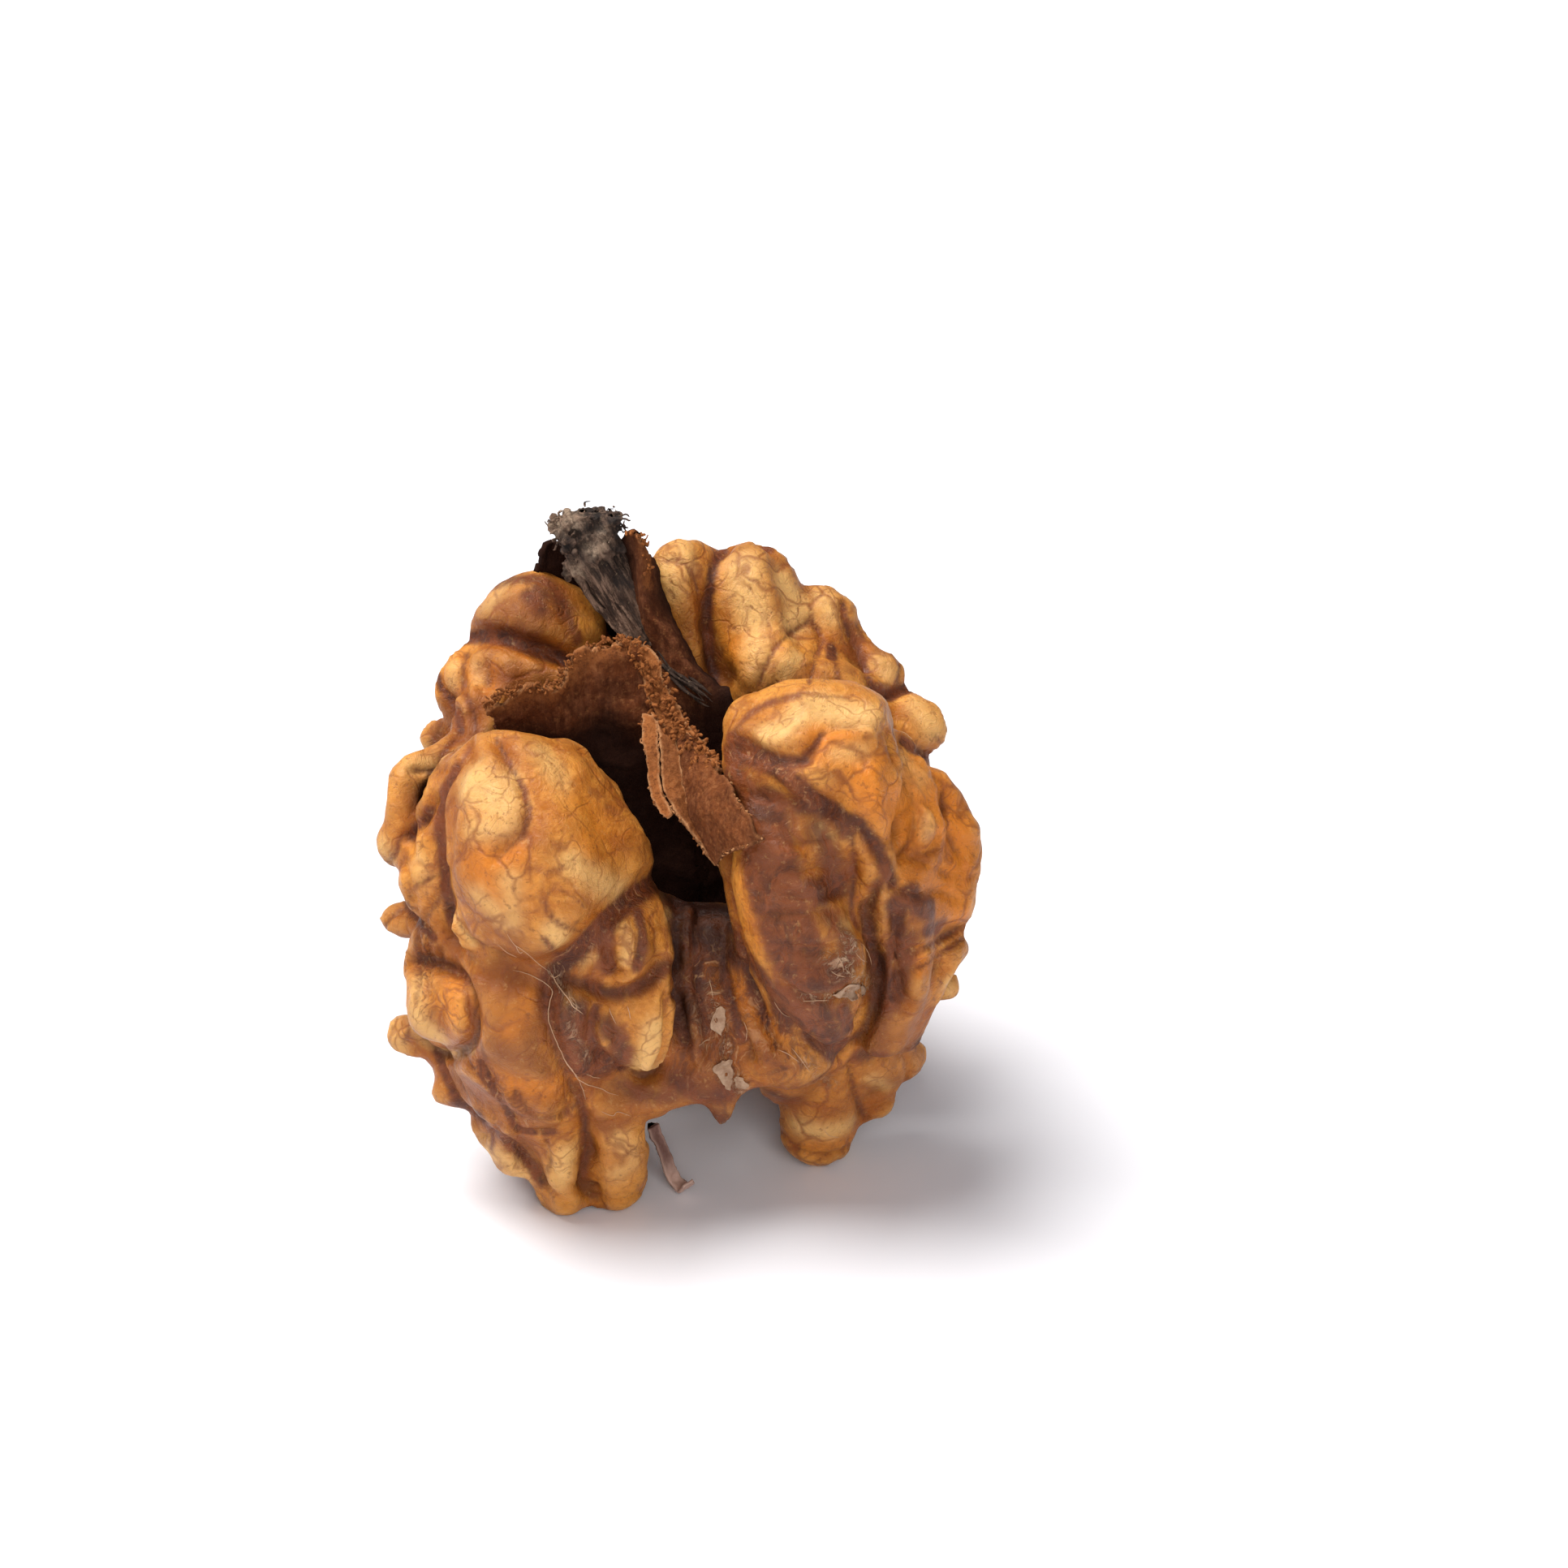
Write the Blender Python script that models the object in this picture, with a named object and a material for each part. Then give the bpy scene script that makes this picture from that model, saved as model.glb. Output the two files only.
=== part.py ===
"""A whole shelled walnut kernel, standing on the ends of its lobes."""

import math

import bmesh
import bpy
import numpy as np
from mathutils import Matrix, Vector, noise
from mathutils.bvhtree import BVHTree

# Driving sizes, in millimetres
SIGHT_ANGLE = math.radians(30)
SIGHT = Vector((0, -math.cos(SIGHT_ANGLE), math.sin(SIGHT_ANGLE)))     # towards the viewer
BALL_STEP = 0.3
VOXEL = 0.4
SMOOTH_ROUNDS = 3
KERNEL_TRIANGLES = 11500
METRES_PER_MM = 0.001
NOISE_SEED = 1795978038     # settles the pattern of the grooves behind and of the crumpled sheets


def stand(seen):
    """Turns (across, rise, depth, radius), as the viewer sees it, into (x, y, z, radius) upright."""
    across, rise, depth, radius = seen
    upright = (rise - depth * math.sin(SIGHT_ANGLE)) / math.cos(SIGHT_ANGLE)
    return across, depth, upright, radius


FRONT_LEFT = {
    "crown": [(-9.2, 18.9, -7.2, 4.1), (-8.3, 16.2, -8.6, 4.9), (-7.2, 13.9, -9.6, 4.6)],
    "crown side": [(-6.6, 19.2, -6.6, 3.2), (-4.6, 15.8, -7.6, 3.3), (-3.7, 12.8, -8.6, 3.1)],
    "crown hem": [(-10.6, 12.4, -10.6, 2.0), (-8.2, 11.4, -11.6, 2.1), (-6.0, 11.7, -11.6, 2.0)],
    "belly": [(-5.5, 11.5, -8.0, 4.4), (-8.2, 8.6, -9.2, 4.9), (-8.4, 4.8, -8.9, 4.3),
              (-7.6, 1.8, -8.2, 3.2)],
    "bean": [(-3.0, 12.6, -10.6, 1.2), (-2.7, 10.8, -11.2, 1.3), (-3.1, 9.4, -11.6, 1.1)],
    "finger": [(-1.5, 12.6, -8.6, 1.1), (-1.5, 9.5, -10.3, 1.4), (-1.7, 6.8, -11.2, 1.6),
               (-2.1, 5.2, -11.4, 1.5)],
    "button": [(-3.6, 7.6, -11.5, 1.6), (-3.9, 6.5, -11.6, 1.5)],
    "foot": [(-4.4, 2.4, -8.6, 2.3), (-3.8, -0.6, -8.4, 2.1), (-4.0, -2.5, -8.0, 2.0)],
    "foot middle": [(-6.6, 1.0, -9.0, 2.2), (-6.6, -2.6, -8.4, 2.1)],
    "foot side": [(-9.4, 2.0, -8.4, 2.0), (-9.0, -0.7, -8.0, 1.9)],
    "foot knob": [(-10.9, 0.4, -7.6, 1.2)],
    "rim 1": [(-13.0, 16.2, -5.6, 1.7), (-15.4, 16.6, -4.8, 1.5)],
    "rim 2": [(-11.8, 14.8, -8.2, 1.9), (-13.9, 14.3, -7.2, 1.7)],
    "rim 3": [(-13.2, 12.2, -5.0, 1.6), (-16.2, 12.1, -4.0, 0.95)],
    "rim 4": [(-12.9, 12.0, -7.6, 1.5), (-14.2, 9.6, -7.4, 1.4)],
    "rim 5": [(-11.6, 8.8, -8.6, 2.6), (-13.3, 7.4, -8.9, 2.0)],
    "rim 6": [(-12.5, 5.6, -5.5, 2.0), (-15.5, 5.6, -4.6, 1.3)],
    "rim 7": [(-11.0, 3.8, -7.2, 2.4), (-12.9, 3.0, -6.6, 1.5)],
    "cheek": [(-12.3, 20.2, -5.8, 1.2), (-13.3, 17.8, -6.9, 1.3), (-12.9, 15.6, -7.8, 1.2)],
}
SHOULDER = {
    "neck": [(-10.9, 23.8, 0.5, 1.8), (-11.5, 22.0, -0.8, 1.4), (-13.0, 21.1, -2.4, 1.2),
             (-14.8, 20.2, -3.6, 1.3), (-15.1, 18.2, -4.4, 1.3)],
}
WEB = {
    "bar 1": [(-3.5, 11.5, -6.0, 3.0), (0.5, 11.0, -5.2, 2.2), (5.0, 10.5, -6.0, 3.0)],
    "bar 3": [(-3.0, 9.0, -6.8, 2.8), (1.2, 8.6, -6.2, 2.3), (5.6, 8.0, -6.8, 2.8)],
    "bar 2": [(-3.0, 6.5, -8.0, 2.6), (1.6, 5.6, -7.6, 2.3), (6.0, 5.2, -8.0, 2.6)],
    "fold 1": [(0.4, 12.0, -6.0, 1.2), (0.9, 7.5, -8.8, 1.0), (1.6, 4.4, -10.2, 0.8)],
    "fold 2": [(2.4, 9.0, -7.0, 1.2), (4.0, 6.4, -9.4, 1.1), (5.6, 4.6, -9.8, 0.9)],
    "hem": [(-3.0, 2.8, -8.5, 2.0), (1.5, 3.6, -9.0, 1.6), (5.5, 4.4, -8.7, 1.4), (7.6, 4.6, -8.6, 1.2)],
    "tip": [(2.4, 3.6, -9.2, 1.4), (2.4, 1.9, -9.7, 0.9), (2.3, 0.9, -10.0, 0.5)],
}
FRONT_RIGHT = {
    "crown": [(4.5, 22.7, -5.6, 2.3), (6.8, 23.2, -6.2, 2.4), (9.6, 23.2, -6.0, 2.2)],
    "brow": [(4.4, 21.3, -7.4, 2.4), (6.6, 20.9, -8.6, 2.5), (8.6, 21.2, -8.4, 2.2)],
    "long fold": [(5.8, 18.2, -8.6, 2.7), (6.0, 15.5, -9.7, 3.1), (6.5, 12.2, -10.6, 3.1),
                  (7.4, 9.4, -11.1, 2.7), (8.7, 6.7, -11.3, 1.6)],
    "fold edge": [(3.5, 19.8, -6.0, 1.0), (3.2, 15.0, -7.2, 1.0), (4.1, 11.0, -8.8, 1.0),
                  (5.8, 8.2, -9.8, 0.9)],
    "fold knuckle": [(8.6, 12.4, -11.4, 1.5), (9.2, 10.2, -11.9, 1.4)],
    "cheek 1": [(10.0, 22.4, -7.2, 2.0), (10.4, 20.0, -8.6, 2.1), (9.6, 17.4, -9.6, 1.9)],
    "cheek 2": [(11.5, 21.5, -5.6, 1.6), (12.8, 19.3, -6.2, 1.7), (13.0, 16.8, -7.4, 1.8),
                (12.2, 14.6, -8.6, 1.7)],
    "cheek 3": [(13.8, 19.5, -4.2, 1.5), (15.1, 17.3, -4.8, 1.6), (15.2, 14.8, -5.4, 1.7),
                (14.6, 12.4, -5.8, 1.6)],
    "cheek 4": [(10.9, 15.6, -9.6, 1.9), (12.2, 12.4, -9.2, 2.0), (12.2, 9.4, -8.8, 1.9),
                (11.2, 6.2, -7.8, 1.8)],
    "cheek 5": [(14.4, 10.8, -6.2, 1.7), (13.2, 8.4, -6.6, 1.7), (12.3, 5.8, -6.6, 1.3)],
    "cheek core": [(10.5, 18.0, -5.6, 3.8), (11.5, 13.0, -6.2, 3.8), (11.0, 8.5, -6.0, 3.0)],
    "rim": [(13.0, 9.2, -3.0, 1.3), (14.9, 8.5, -2.5, 1.15)],
    "foot": [(8.3, 6.5, -4.5, 3.0), (8.1, 3.0, -3.8, 2.6), (7.7, 0.2, -3.3, 2.4)],
    "foot side": [(10.0, 5.0, -3.5, 2.6), (12.0, 4.3, -2.5, 1.8), (13.5, 4.4, -2.0, 0.9)],
    "foot heel": [(10.8, 2.2, -2.8, 1.7)],
}
BACK_LEFT = {
    "dome": [(-6.8, 28.4, 5.5, 2.8), (-8.6, 28.4, 5.0, 3.1), (-9.7, 27.6, 4.8, 2.6)],
    "flute 1": [(-12.2, 26.4, 3.4, 1.3), (-12.8, 25.0, 3.2, 1.2), (-11.9, 23.2, 2.4, 1.2)],
    "flute 2": [(-10.6, 26.6, 2.8, 1.5), (-11.0, 24.8, 2.2, 1.4), (-10.6, 23.0, 1.4, 1.3)],
    "flute 3": [(-8.8, 26.4, 2.4, 1.6), (-8.8, 24.2, 1.6, 1.6), (-9.2, 21.8, 0.8, 1.5)],
    "flute 4": [(-6.8, 26.0, 2.6, 1.6), (-6.6, 23.8, 2.0, 1.6), (-7.0, 21.0, 1.5, 1.6)],
    "knob": [(-12.0, 22.5, 3.4, 1.7), (-13.6, 22.4, 3.2, 1.3)],
}
BACK_RIGHT = {
    "inner": [(0.8, 31.2, 6.0, 2.1), (1.0, 28.5, 5.8, 2.3), (1.8, 26.0, 5.6, 2.3)],
    "crown": [(4.0, 30.8, 7.0, 2.7), (4.5, 28.2, 6.0, 3.0), (5.4, 25.5, 5.2, 3.1)],
    "shoulder": [(6.4, 28.4, 7.0, 2.2), (8.0, 29.2, 7.5, 1.9), (8.8, 27.4, 6.8, 2.3)],
    "rim 1": [(9.4, 26.0, 6.2, 2.1), (11.4, 26.2, 6.0, 1.4)],
    "rim 2": [(11.2, 23.7, 4.6, 2.1), (13.5, 23.0, 4.0, 1.75)],
}
SEEN = [FRONT_LEFT, SHOULDER, WEB, FRONT_RIGHT, BACK_LEFT, BACK_RIGHT]

# Creases of the seen side: width, depth, then (across, rise) along each
CREASES = {
    "left of crown": (0.55, 0.7, [(-11.3, 21.6), (-12.3, 20.0), (-12.8, 17.8), (-13.0, 15.0),
                      (-12.6, 12.8), (-11.5, 10.7), (-10.3, 9.6)]),
    "under crown": (0.9, 0.9, [(-0.3, 14.7), (-2.2, 13.9), (-4.2, 12.1), (-6.3, 9.7), (-8.3, 9.3),
                    (-10.4, 9.8)]),
    "belly groove": (0.6, 0.8, [(-6.5, 9.6), (-7.3, 7.3), (-6.8, 5.0), (-6.0, 2.8), (-5.5, 0.0)]),
    "crown vein": (0.4, 0.35, [(-9.8, 22.2), (-8.5, 20.3), (-7.7, 18.2), (-9.0, 16.3)]),
    "left nodule": (0.5, 0.6, [(-15.1, 10.0), (-12.9, 9.8), (-11.4, 7.8), (-11.6, 5.3), (-13.5, 4.5),
                    (-15.4, 5.0)]),
    "left rim": (0.45, 0.5, [(-14.5, 18.2), (-13.5, 16.0), (-14.0, 13.7), (-15.4, 13.2)]),
    "low folds 1": (0.5, 0.6, [(-14.2, 3.5), (-12.2, 3.0), (-10.1, 1.4), (-7.2, 0.3), (-3.5, 0.5)]),
    "low folds 2": (0.5, 0.5, [(-11.3, 4.6), (-9.0, 3.2), (-6.3, 2.8)]),
    "foot split 1": (0.6, 0.8, [(-8.5, 0.3), (-8.5, -1.8), (-8.0, -3.8)]),
    "foot split 2": (0.6, 0.8, [(-5.3, 0.0), (-5.2, -2.2), (-4.8, -4.3)]),
    "finger left": (0.45, 0.7, [(-4.0, 11.4), (-4.2, 9.1), (-3.3, 7.5), (-2.9, 5.5), (-2.7, 3.7)]),
    "bean ring": (0.35, 0.5, [(-3.3, 9.8), (-3.8, 11.0), (-2.9, 12.3), (-1.5, 12.5)]),
    "right vein band": (0.6, 0.8, [(2.3, 21.4), (4.2, 20.3), (6.2, 17.8), (7.8, 16.0), (9.4, 13.9),
                        (10.4, 11.9)]),
    "brow crease": (0.5, 0.6, [(2.8, 21.6), (5.5, 21.2), (7.8, 21.6), (10.1, 21.4), (11.9, 22.1)]),
    "outer right": (0.5, 0.6, [(12.1, 24.6), (12.3, 22.5), (13.2, 20.5), (14.4, 18.9), (16.0, 18.2)]),
    "long fold side": (0.6, 0.7, [(10.4, 11.9), (10.8, 9.6), (10.2, 7.1), (9.2, 5.0)]),
    "wrinkle 1": (0.45, 0.45, [(4.9, 14.7), (6.9, 15.0), (9.2, 14.7)]),
    "wrinkle 2": (0.45, 0.45, [(5.1, 12.3), (7.4, 12.7), (9.6, 12.4)]),
    "wrinkle 3": (0.45, 0.45, [(5.8, 10.0), (7.8, 10.2), (9.9, 10.0)]),
    "right net 1": (0.45, 0.55, [(11.5, 21.0), (12.1, 18.2), (12.5, 15.5), (11.8, 13.2), (12.5, 11.0),
                    (12.1, 8.2)]),
    "right net 2": (0.45, 0.5, [(12.5, 15.5), (14.2, 16.4), (16.5, 16.0)]),
    "right net 3": (0.45, 0.5, [(12.1, 12.8), (14.0, 11.6), (16.4, 11.9)]),
    "right net 4": (0.4, 0.5, [(12.5, 10.7), (13.7, 9.6), (14.6, 9.6)]),
    "left dome band": (0.6, 0.7, [(-13.5, 27.1), (-10.8, 28.0), (-8.5, 27.5), (-6.0, 26.6)]),
    "left dome flutes": (0.4, 0.5, [(-11.3, 26.6), (-10.8, 25.0), (-11.3, 23.5)]),
    "left dome flutes 2": (0.4, 0.5, [(-9.0, 26.9), (-8.6, 25.3), (-9.0, 24.1)]),
    "back right vein": (0.5, 0.6, [(1.9, 32.8), (1.5, 29.6), (1.9, 27.3), (2.5, 25.6)]),
    "back right shoulder": (0.5, 0.6, [(5.6, 32.3), (6.2, 30.3), (6.9, 27.8), (8.7, 27.3), (10.1, 27.8)]),
    "back right rim": (0.5, 0.6, [(10.2, 28.7), (10.0, 26.4), (11.5, 25.0)]),
}

# Each lobe is a quarter of an egg: side, half, middle height, reach across, along and up,
# its flat face's distance from the plane x = 0, and how much that face leans away above LEAN_FROM
LOBES = [
    (-1, -1, 15.6, 14.4, 12.2, 12.8, 1.6, 0.25),
    (1, -1, 16.4, 14.6, 11.2, 13.6, 2.5, 0.0),
    (-1, 1, 16.6, 14.6, 13.4, 14.8, 1.8, 0.3),
    (1, 1, 16.8, 14.8, 13.8, 15.2, 1.6, 0.0),
]
LEAN_FROM = 20.0
FACE_Y = 1.1
EDGE = 2.4
CORES = [   # (x, y, z, radius), upright frame
    [(-6.5, -4.0, 9.0, 3.2), (0.0, 0.0, 9.2, 2.8), (6.5, 4.5, 9.0, 3.4)],
    [(-6.5, 5.0, 9.5, 3.4), (0.0, 6.0, 10.5, 3.0), (6.5, -3.5, 9.0, 3.2)],
    [(-10.0, -4.4, 5.4, 2.6), (-8.6, -3.8, 3.4, 2.3), (-7.0, -4.4, 3.6, 2.0)],
    [(-10.4, 4.0, 5.6, 2.6), (-9.0, 3.7, 3.4, 2.3), (-7.0, 4.0, 3.6, 2.0)],
    [(10.6, 4.0, 5.6, 2.6), (9.2, 3.8, 3.4, 2.3), (7.2, 4.2, 3.6, 2.0)],
    [(-5.0, 9.5, 13.0, 2.8), (0.0, 8.8, 13.5, 2.4), (5.0, 9.5, 13.0, 2.8)],
    [(-5.0, 9.2, 18.2, 2.4), (0.0, 8.0, 18.6, 1.8), (5.0, 9.2, 18.2, 2.4)],
    [(-5.0, 9.3, 15.6, 2.6), (0.0, 8.4, 16.0, 2.2), (5.0, 9.3, 15.6, 2.6)],
    [(-3.9, 10.0, 27.5, 1.8), (-3.6, 12.4, 22.0, 1.9), (-3.9, 13.0, 16.0, 2.0), (-3.7, 12.0, 10.0, 1.9)],
    [(3.4, 10.6, 29.0, 1.8), (3.6, 12.8, 22.0, 1.9), (3.9, 13.2, 16.0, 2.0), (3.7, 12.2, 10.0, 1.9)],
    [(-6.8, 6.0, 7.5, 4.2), (-6.0, 5.8, 1.9, 2.2)],
    [(-9.0, 7.0, 7.5, 3.6), (-8.0, 7.4, 1.9, 2.0)],
    [(-6.0, 8.8, 6.5, 2.8), (-5.6, 8.6, 2.6, 1.9)],
    [(-11.2, 5.6, 8.0, 2.4), (-10.4, 5.4, 4.4, 1.9), (-9.0, 5.2, 2.6, 1.6)],
    [(6.8, 6.2, 7.5, 4.2), (6.0, 6.2, 1.9, 2.2)],
    [(9.2, 7.2, 7.5, 3.6), (8.2, 7.8, 1.9, 2.0)],
    [(6.0, 9.0, 6.5, 2.8), (5.4, 9.0, 2.6, 1.9)],
    [(11.4, 5.8, 8.0, 2.4), (10.6, 5.6, 4.6, 1.9), (9.2, 5.4, 2.8, 1.6)],
]

# The papery partition: sheets through rows of (across, rise, depth), as seen, from the top edge down
SHEETS = {
    "left sheet": [
        [(-10.9, 23.4, -1.9), (-9.0, 24.8, -2.0), (-6.3, 25.5, -1.5), (-4.5, 27.2, -0.3), (-2.9, 27.8, 0.4),
         (-1.2, 26.3, 0.0), (0.2, 24.0, -0.3)],
        [(-10.6, 21.0, -1.6), (-8.8, 21.8, -1.8), (-6.3, 22.3, -1.3), (-4.5, 23.4, -0.8), (-2.9, 23.6, -0.6),
         (-1.2, 22.6, -0.6), (0.6, 21.0, -0.6)],
        [(-10.4, 16.0, 0.0), (-8.6, 16.4, 0.0), (-6.3, 16.6, 0.0), (-4.5, 17.0, 0.0), (-2.4, 17.0, 0.0),
         (-0.6, 16.6, 0.2), (1.4, 16.0, 0.2)],
        [(-9.6, 11.0, 0.0), (-8.0, 10.6, 0.0), (-6.0, 10.2, 0.0), (-4.2, 10.0, 0.0), (-2.2, 10.0, 0.2),
         (-0.4, 10.0, 0.2), (1.6, 10.4, 0.2)],
    ],
    "hanging flap": [
        [(-1.9, 25.6, 0.4), (-1.0, 26.2, 0.3), (0.0, 26.2, 0.1)],
        [(-1.8, 23.6, -2.6), (-0.4, 23.8, -2.8), (1.0, 23.8, -3.2)],
        [(-1.6, 20.6, -5.6), (0.0, 20.6, -6.6), (1.5, 20.6, -8.0)],
        [(-0.8, 18.2, -7.4), (1.3, 18.2, -9.4), (3.3, 18.6, -11.6)],
        [(0.9, 16.0, -8.6), (2.5, 15.9, -10.8), (4.6, 16.9, -12.8)],
    ],
    "back sheet": [
        [(-2.8, 34.0, 3.6), (-2.1, 33.6, 3.6), (-1.4, 32.8, 3.2)],
        [(-1.8, 30.8, 2.6), (-1.1, 30.4, 2.4), (-0.4, 29.8, 2.0)],
        [(-0.8, 28.0, 1.6), (0.4, 27.6, 1.2), (1.6, 27.0, 0.8)],
        [(-0.4, 25.0, 0.8), (1.2, 25.0, 0.5), (3.1, 24.7, 0.2)],
        [(-0.6, 19.0, 0.6), (1.4, 19.0, 0.4), (3.6, 19.0, 0.1)],
        [(-0.6, 13.0, 0.6), (1.4, 12.4, 0.4), (3.6, 12.4, 0.1)],
    ],
    "right sheet": [
        [(1.0, 23.0, 0.3), (4.0, 22.6, 0.1), (7.0, 22.4, 0.0), (10.0, 21.0, 0.0), (12.4, 18.6, 0.0)],
        [(1.0, 17.0, 0.3), (4.0, 17.0, 0.1), (7.0, 17.0, 0.0), (10.0, 16.6, 0.0), (12.4, 15.0, 0.0)],
        [(1.0, 10.6, 0.2), (4.0, 10.2, 0.0), (7.0, 10.0, 0.0), (9.6, 10.4, 0.0), (11.4, 11.4, 0.0)],
    ],
    "wrap": [
        [(-7.6, 32.8, 5.2), (-6.6, 32.6, 6.4), (-4.8, 32.4, 7.2), (-3.0, 33.0, 6.2), (-2.2, 33.8, 4.0)],
        [(-7.2, 31.4, 5.4), (-6.4, 31.0, 6.4), (-4.8, 30.8, 7.0), (-3.0, 30.8, 5.8), (-1.6, 30.8, 3.4)],
    ],
}
SKIN_CURL = {
    "curl": [
        [(-2.2, 2.0, -7.0), (-1.6, 2.0, -6.6)],
        [(-1.8, 0.0, -7.2), (-1.2, 0.1, -6.6)],
        [(-1.1, -1.6, -7.2), (-0.5, -1.5, -6.6)],
        [(-0.7, -2.8, -7.0), (0.0, -2.7, -6.4)],
        [(-0.2, -3.4, -7.5), (0.6, -3.0, -7.0)],
        [(0.1, -3.0, -8.0), (0.7, -2.6, -7.8)],
    ],
}
STALK = [   # the strand, as seen
    (-4.8, 32.2, 4.6, 1.6), (-3.9, 30.4, 4.0, 1.4), (-2.9, 28.8, 3.2, 1.2), (-1.7, 27.2, 2.2, 0.95),
    (-0.6, 26.0, 0.9, 0.75), (0.8, 24.9, -0.3, 0.6), (1.9, 24.1, -0.9, 0.5),
]
STALK_STRINGS = 3
STALK_HEAD = (-5.0, 33.3, 4.8, 1.8)
STALK_KNOBS = 16
STALK_SEED = 3
STALK_VOXEL = 0.22
STALK_TRIANGLES = 2400
SHEET_GRID = 0.45           # spacing of the points that a sheet is made on
SHEET_CRUMPLE = 0.45
SHEET_VOXEL = 0.2
SHEET_THICK = 0.7
SHEET_TRIANGLES = 3600
CURL_GRID = 0.3
CURL_CRUMPLE = 0.15
CURL_TRIANGLES = 400
CLEARANCE = 0.3
FLAT_BELOW = 0.12           # the skin under this height is pressed flat, where the lobes rest
FOLD_SIZES = (1.7, 2.5)     # radii of the folds on the hidden outside
FOLD_COUNT = 110            # places tried round the whole kernel
FOLD_SEED = 5
CELL = 6.6                  # width of the swellings between the grooves there
GROOVE = (0.8, 1.3)         # their half width and depth
EGG = (15.6, 15.0, 16.4)    # half sizes of the egg that the folds there lie in
EGG_MIDDLE = 17.0           # height of its middle


def smooth_path(points, step):
    """A Catmull-Rom curve through points, whose columns are x, y, z and radius."""
    knots = np.array(points, float)
    if len(knots) == 1:
        return knots
    knots = np.vstack([2 * knots[0] - knots[1], knots, 2 * knots[-1] - knots[-2]])
    out = []
    for a, b, c, d in zip(knots, knots[1:], knots[2:], knots[3:]):
        count = max(2, math.ceil(np.linalg.norm(c[:3] - b[:3]) / (step * min(b[3], c[3]))))
        t = (np.arange(count) / count)[:, None]
        out.append(0.5 * (2 * b + (c - a) * t + (2 * a - 5 * b + 4 * c - d) * t**2
                          + (3 * b - a - 3 * c + d) * t**3))
    return np.vstack(out + [knots[-2:-1]])


def ball_mesh(balls, name):
    """One mesh of a sphere for each row of x, y, z, radius."""
    bm = bmesh.new()
    bmesh.ops.create_icosphere(bm, subdivisions=3, radius=1)
    unit = np.array([v.co for v in bm.verts])
    faces = np.array([[v.index for v in f.verts] for f in bm.faces])
    bm.free()
    points = (balls[:, None, :3] + balls[:, None, 3:] * unit[None]).reshape(-1, 3)
    corners = (faces[None] + len(unit) * np.arange(len(balls))[:, None, None]).reshape(-1, 3)
    mesh = bpy.data.meshes.new(name)
    mesh.from_pydata(points.tolist(), [], corners.tolist())
    return mesh


def settled(obj):
    """A new mesh of obj with its modifiers applied."""
    graph = bpy.context.evaluated_depsgraph_get()
    graph.update()
    return bpy.data.meshes.new_from_object(obj.evaluated_get(graph))


def lobe_balls(side, half, middle, across, along, up, face, lean):
    """Balls of radius EDGE that fill a quarter egg, so that its rim and corners come out rounded."""
    steps = np.arange(0, 18, 1.1)
    x, y, z = np.meshgrid(face + EDGE + steps, FACE_Y + EDGE + steps, np.arange(-18, 18, 1.1), indexing="ij")
    inside = (x / (across - EDGE))**2.5 + (y / (along - EDGE))**2.5 + abs(z / (up - EDGE))**2.5 < 1
    inside &= x > face + EDGE + lean * (middle + z - LEAN_FROM)
    x, y, z = x[inside], y[inside], z[inside]
    return np.column_stack([side * x, half * y, middle + z, np.full(len(x), EDGE)])


def hidden_folds():
    """Short curved folds packed over the hidden outside, each just under an egg's skin."""
    rng = np.random.default_rng(FOLD_SEED)
    found = []
    for i in range(FOLD_COUNT):
        up = 1 - 2 * (i + 0.5) / FOLD_COUNT
        turn = i * math.pi * (3 - math.sqrt(5))
        radius = rng.uniform(*FOLD_SIZES)
        swing = rng.uniform(-1, 1)
        reach = rng.uniform(0.12, 0.26)
        sunk = rng.uniform(0, 0.7)
        level = math.sqrt(1 - up * up)
        normal = Vector((math.cos(turn) * level, math.sin(turn) * level, up))
        in_sight = normal.z * math.sin(SIGHT_ANGLE) - normal.y * math.cos(SIGHT_ANGLE)
        if in_sight > 0.22 or up < -0.9 or abs(normal.x) < 0.2 or normal.y < -0.3:
            continue
        if normal.y < 0.25 and up < -0.55:
            continue
        along = normal.cross(Vector((0, 0.3, 1))).normalized()
        along = Matrix.Rotation(1.2 * swing + 0.6 * math.sin(3 * up), 3, normal) @ along
        across = normal.cross(along)
        half = 1 if normal.y > 0 else -1
        path = []
        for t in (-1, 0, 1):
            point = (normal + along * (t * reach) + across * (0.08 * t * t * swing)).normalized()
            size = radius * (1 - 0.15 * abs(t))
            flank = max(FACE_Y + size, half * (point.y * (EGG[1] - sunk - size) + 0.3))
            inner = max(FACE_Y + size + 0.8, abs(point.x) * (EGG[0] - sunk - size))
            height = EGG_MIDDLE + point.z * (EGG[2] - sunk - size)
            path.append((math.copysign(inner, normal.x), half * flank, height, size))
        found.append(path)
    return found


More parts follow.
